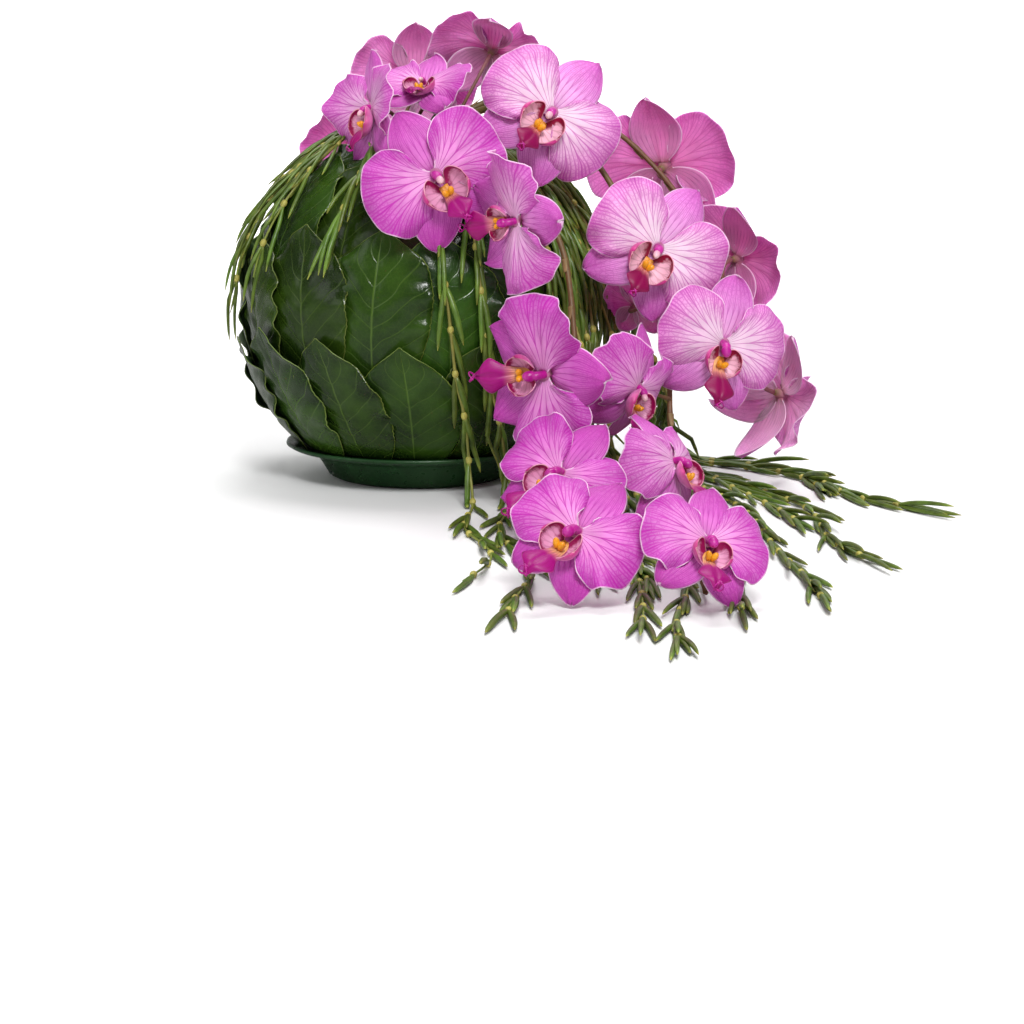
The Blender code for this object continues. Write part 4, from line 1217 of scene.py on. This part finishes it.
def make_vine_materials():
    """Stem, needles and joints: greens that yellow at the needles' tips and at the joints, and a painted
    highlight in lighter green along each needle.
    """
    stem = make_waxy("vine_stem", 0.45, (
        (0.0, srgb(112, 92, 50)), (0.4, srgb(132, 128, 58)), (1.0, srgb(128, 146, 60)),
    ), 150.0)
    material, helper, shader = new_material("vine_needle", 0.36, Specular_IOR_Level=0.5)
    across, along, _ = helper.grow()
    colour = helper.ramp(along, (
        (0.0, srgb(142, 146, 54)), (0.10, srgb(94, 114, 38)), (0.55, srgb(76, 99, 30)),
        (0.9, srgb(98, 118, 38)), (1.0, srgb(160, 156, 66)),
    ))
    # Painted highlight: a lighter green stripe along two opposite sides of each needle.
    painted_highlight_stripe = helper.maths("ABSOLUTE", helper.maths("SUBTRACT", across, 0.5))
    colour = helper.blend(helper.ease(painted_highlight_stripe, 0.42, 0.5, 0.0, 0.4), colour, srgb(112, 140, 66))
    colour = mottled(helper, colour, 120.0, 0.72, 1.2)
    helper.put(shader.inputs["Base Color"], varied(helper, colour, 0.04, 0.5))
    grained(helper, shader, 700.0, 0.5, 0.0003)
    joint = make_waxy("vine_joint", 0.5, ((0.0, srgb(166, 160, 72)), (1.0, srgb(178, 170, 84))), 300.0)
    return [stem, material, joint]


# ---------------------------------------------------------------- tray and foam

def make_tray(materials):
    """The tray turned again, with a rounded lip and a hollow underside. Its profile is radius and height."""
    rim, _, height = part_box("tray")[1]
    foot, wall = rim * 0.65, rim * 0.77
    thick = height * 0.095
    profile = np.array((
        (0.0005, thick), (foot * 0.90, thick), (foot, thick * 1.35), (wall - thick, height * 0.70),
        (wall - thick * 0.2, height * 0.80), (rim - 0.004, height * 0.94), (rim - 0.0016, height),
        (rim - 0.0004, height * 0.985), (rim, height * 0.93), (rim - 0.003, height * 0.865),
        (wall + 0.003, height * 0.70), (wall, height * 0.62), (foot + 0.0035, height * 0.10),
        (foot, height * 0.03), (foot - 0.002, 0.0001), (foot - 0.006, 0.0001), (foot - 0.008, 0.0012),
        (0.0005, 0.0012),
    ))
    steps = 96
    turn = np.linspace(0, 2 * math.pi, steps, endpoint=False)
    ring = np.stack([
        profile[:, None, 0] * np.sin(turn), -profile[:, None, 0] * np.cos(turn),
        np.repeat(profile[:, 1:2], steps, axis=1),
    ], axis=-1)
    index = np.arange(len(profile) * steps).reshape(-1, steps)
    after = np.roll(index, -1, axis=1)
    wall_faces = np.stack([index[:-1], index[1:], after[1:], after[:-1]], axis=-1).reshape(-1, 4)
    caps = np.stack([index[0], index[-1, ::-1]])
    points = ring.reshape(-1, 3)
    grow = np.stack([
        np.tile(turn / (2 * math.pi), len(profile)), np.repeat(np.linspace(0, 1, len(profile)), steps),
        np.full(len(points), FAR_FROM_MARGIN),
    ], axis=-1)
    piece = Piece("tray_turned")
    piece.add(points, [wall_faces, caps], [0, 0], grow, 0.5)
    set_in_place(piece.build(materials), "tray")


def make_plastic(name, colour, roughness):
    """Moulded green plastic, with a little dust and uneven wear."""
    material, helper, shader = new_material(name, roughness, Specular_IOR_Level=0.36)
    dust = helper.group("mottle", {"Scale": 14.0, "Low": 0.0, "High": 0.08})
    tinted = mottled(helper, colour, 40.0, 0.85, 1.15)
    helper.put(shader.inputs["Base Color"], helper.blend(dust, tinted, srgb(104, 126, 92)))
    worn = helper.group("mottle", {"Scale": 220.0, "Low": roughness - 0.06, "High": roughness + 0.12})
    helper.put(shader.inputs["Roughness"], worn)
    grained(helper, shader, 1500.0, 0.5, 0.0001)
    return material


def make_foam():
    """Wet florist's foam with open pores."""
    material, helper, shader = new_material("wet_foam_cells", 0.62, Specular_IOR_Level=0.3)
    patches = helper.group("mottle", {"Scale": 30.0, "Low": 0.0, "High": 1.0})
    colour = helper.blend(patches, srgb(36, 74, 44), srgb(60, 104, 64))
    pores = helper.group("net_veins", {"Scale": 900.0, "Width": 0.2})
    colour = helper.blend(helper.maths("MULTIPLY", pores, 0.4), colour, srgb(92, 132, 88))
    helper.put(shader.inputs["Base Color"], colour)
    bumped(helper, shader, pores, 0.0006)
    return material


def finish_cad_node(name, material):
    """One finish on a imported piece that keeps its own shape."""
    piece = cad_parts[name]
    piece.data.materials.clear()
    piece.data.materials.append(material)


# ---------------------------------------------------------------- studio

CAMERA_PLACE = (0.066, -1.75, 0.315)
CAMERA_TILT = 11.1
CAMERA_LENS = 86.9
FLOWER_MIDDLE = (0.08, -0.10, 0.12)
# Name, place, target, width and height, and power.
LIGHTS = (
    ("key", (0.35, -2.2, 1.9), FLOWER_MIDDLE, (0.7, 0.7), 54.0),
    ("fill", (-2.2, -1.2, 1.2), FLOWER_MIDDLE, (1.4, 1.8), 9.0),
    ("top", (0.2, 0.4, 2.6), FLOWER_MIDDLE, (1.2, 1.2), 34.0),
    ("glint", (0.9, -1.3, 1.5), FLOWER_MIDDLE, (0.3, 0.3), 3.0),
    ("backdrop", (0.0, 0.9, 2.2), (0.0, 2.8, 1.0), (3.0, 0.8), 70.0),
)


def make_camera():
    data = bpy.data.cameras.new("camera")
    data.lens = CAMERA_LENS
    data.sensor_width = 36.0
    data.clip_end = 50.0
    camera = bpy.data.objects.new("camera", data)
    camera.location = CAMERA_PLACE
    camera.rotation_euler = (math.radians(90 - CAMERA_TILT), 0.0, 0.0)
    bpy.context.scene.collection.objects.link(camera)
    bpy.context.scene.camera = camera


def make_floor():
    """A pale floor that curves up behind into a backdrop."""
    radius, back = 1.2, 1.6
    bend = np.linspace(0, math.pi / 2, 25)
    profile = [(-4.0, 0.0)] + [(back + radius * math.sin(a), radius - radius * math.cos(a)) for a in bend]
    profile.append((back + radius, 5.0))
    profile = np.array(profile)
    points = [(x, y, z) for x in (-6.0, 6.0) for y, z in profile]
    count = len(profile)
    faces = [(i, i + count, i + count + 1, i + 1) for i in range(count - 1)]
    mesh = bpy.data.meshes.new("floor")
    mesh.from_pydata(points, [], faces)
    mesh.polygons.foreach_set("use_smooth", [True] * len(faces))
    floor = bpy.data.objects.new("floor", mesh)
    bpy.context.scene.collection.objects.link(floor)
    material, helper, shader = new_material("pale_floor", 0.7, Specular_IOR_Level=0.2)
    rays = helper.node("ShaderNodeLightPath").outputs
    near = mottled(helper, (0.90, 0.90, 0.90, 1.0), 3.0, 0.98, 1.0)
    mirrored = helper.maths("MULTIPLY", rays["Is Glossy Ray"], 0.7)
    helper.put(shader.inputs["Base Color"], helper.blend(mirrored, near, srgb(90, 92, 88)))
    length = helper.node("ShaderNodeVectorMath", {0: helper.own_place()}, operation="LENGTH")
    far = helper.ease(length.outputs["Value"], 0.9, 2.6, 0.0, 0.85)
    glow = helper.maths("MULTIPLY", rays["Is Camera Ray"], far)
    helper.put(shader.inputs["Emission Color"], WHITE)
    helper.put(shader.inputs["Emission Strength"], glow)
    mesh.materials.append(material)


def make_light(name, place, target, size, power):
    data = bpy.data.lights.new(name, "AREA")
    data.shape = "RECTANGLE"
    data.size, data.size_y = size
    data.energy = power
    light = bpy.data.objects.new(name, data)
    light.location = place
    aim = np.array(place) - np.array(target)
    light.rotation_euler = (math.atan2(math.hypot(aim[0], aim[1]), aim[2]), 0.0, math.atan2(aim[0], -aim[1]))
    bpy.context.scene.collection.objects.link(light)


def make_studio():
    """Soft light from above and in front. The surroundings are white, and dimmer in reflections."""
    make_camera()
    make_floor()
    for name, place, target, size, power in LIGHTS:
        make_light(name, place, target, size, power)
    world = bpy.data.worlds.new("studio")
    world.use_nodes = True
    background = world.node_tree.nodes["Background"]
    background.inputs["Color"].default_value = WHITE
    helper = Tree(world.node_tree)
    rays = helper.node("ShaderNodeLightPath").outputs
    strength = helper.maths("MULTIPLY_ADD", rays["Is Glossy Ray"], -0.14, 0.25)
    strength = helper.maths("MULTIPLY_ADD", rays["Is Camera Ray"], 0.80, strength)
    helper.put(background.inputs["Strength"], strength)
    bpy.context.scene.world = world
    bpy.context.scene.view_settings.view_transform = "Standard"


# ---------------------------------------------------------------- all together

def main():
    make_fan_veins()
    make_feather_veins()
    make_net_veins()
    make_mottle()
    make_skin_grain()
    make_own_tone()
    make_thin_rim()
    make_tray([make_plastic("tray_plastic", srgb(21, 60, 25), 0.32)])
    finish_cad_node("foam_anchor", make_plastic("anchor_green", srgb(50, 96, 62), 0.45))
    finish_cad_node("foam_ball", make_foam())
    make_leaves(make_leaf_materials())
    flower_materials = make_flower_materials()
    for number, spec in enumerate(FLOWERS, 1):
        make_flower(number, spec, flower_materials)
    spike_materials = make_spike_materials()
    for number, knots in enumerate(SPIKE_ROUTES, 1):
        make_spike(number, knots, spike_materials)
    vine_materials = make_vine_materials()
    for number, spec in enumerate(VINES, 1):
        make_vine(number, spec, vine_materials)
    make_studio()


main()
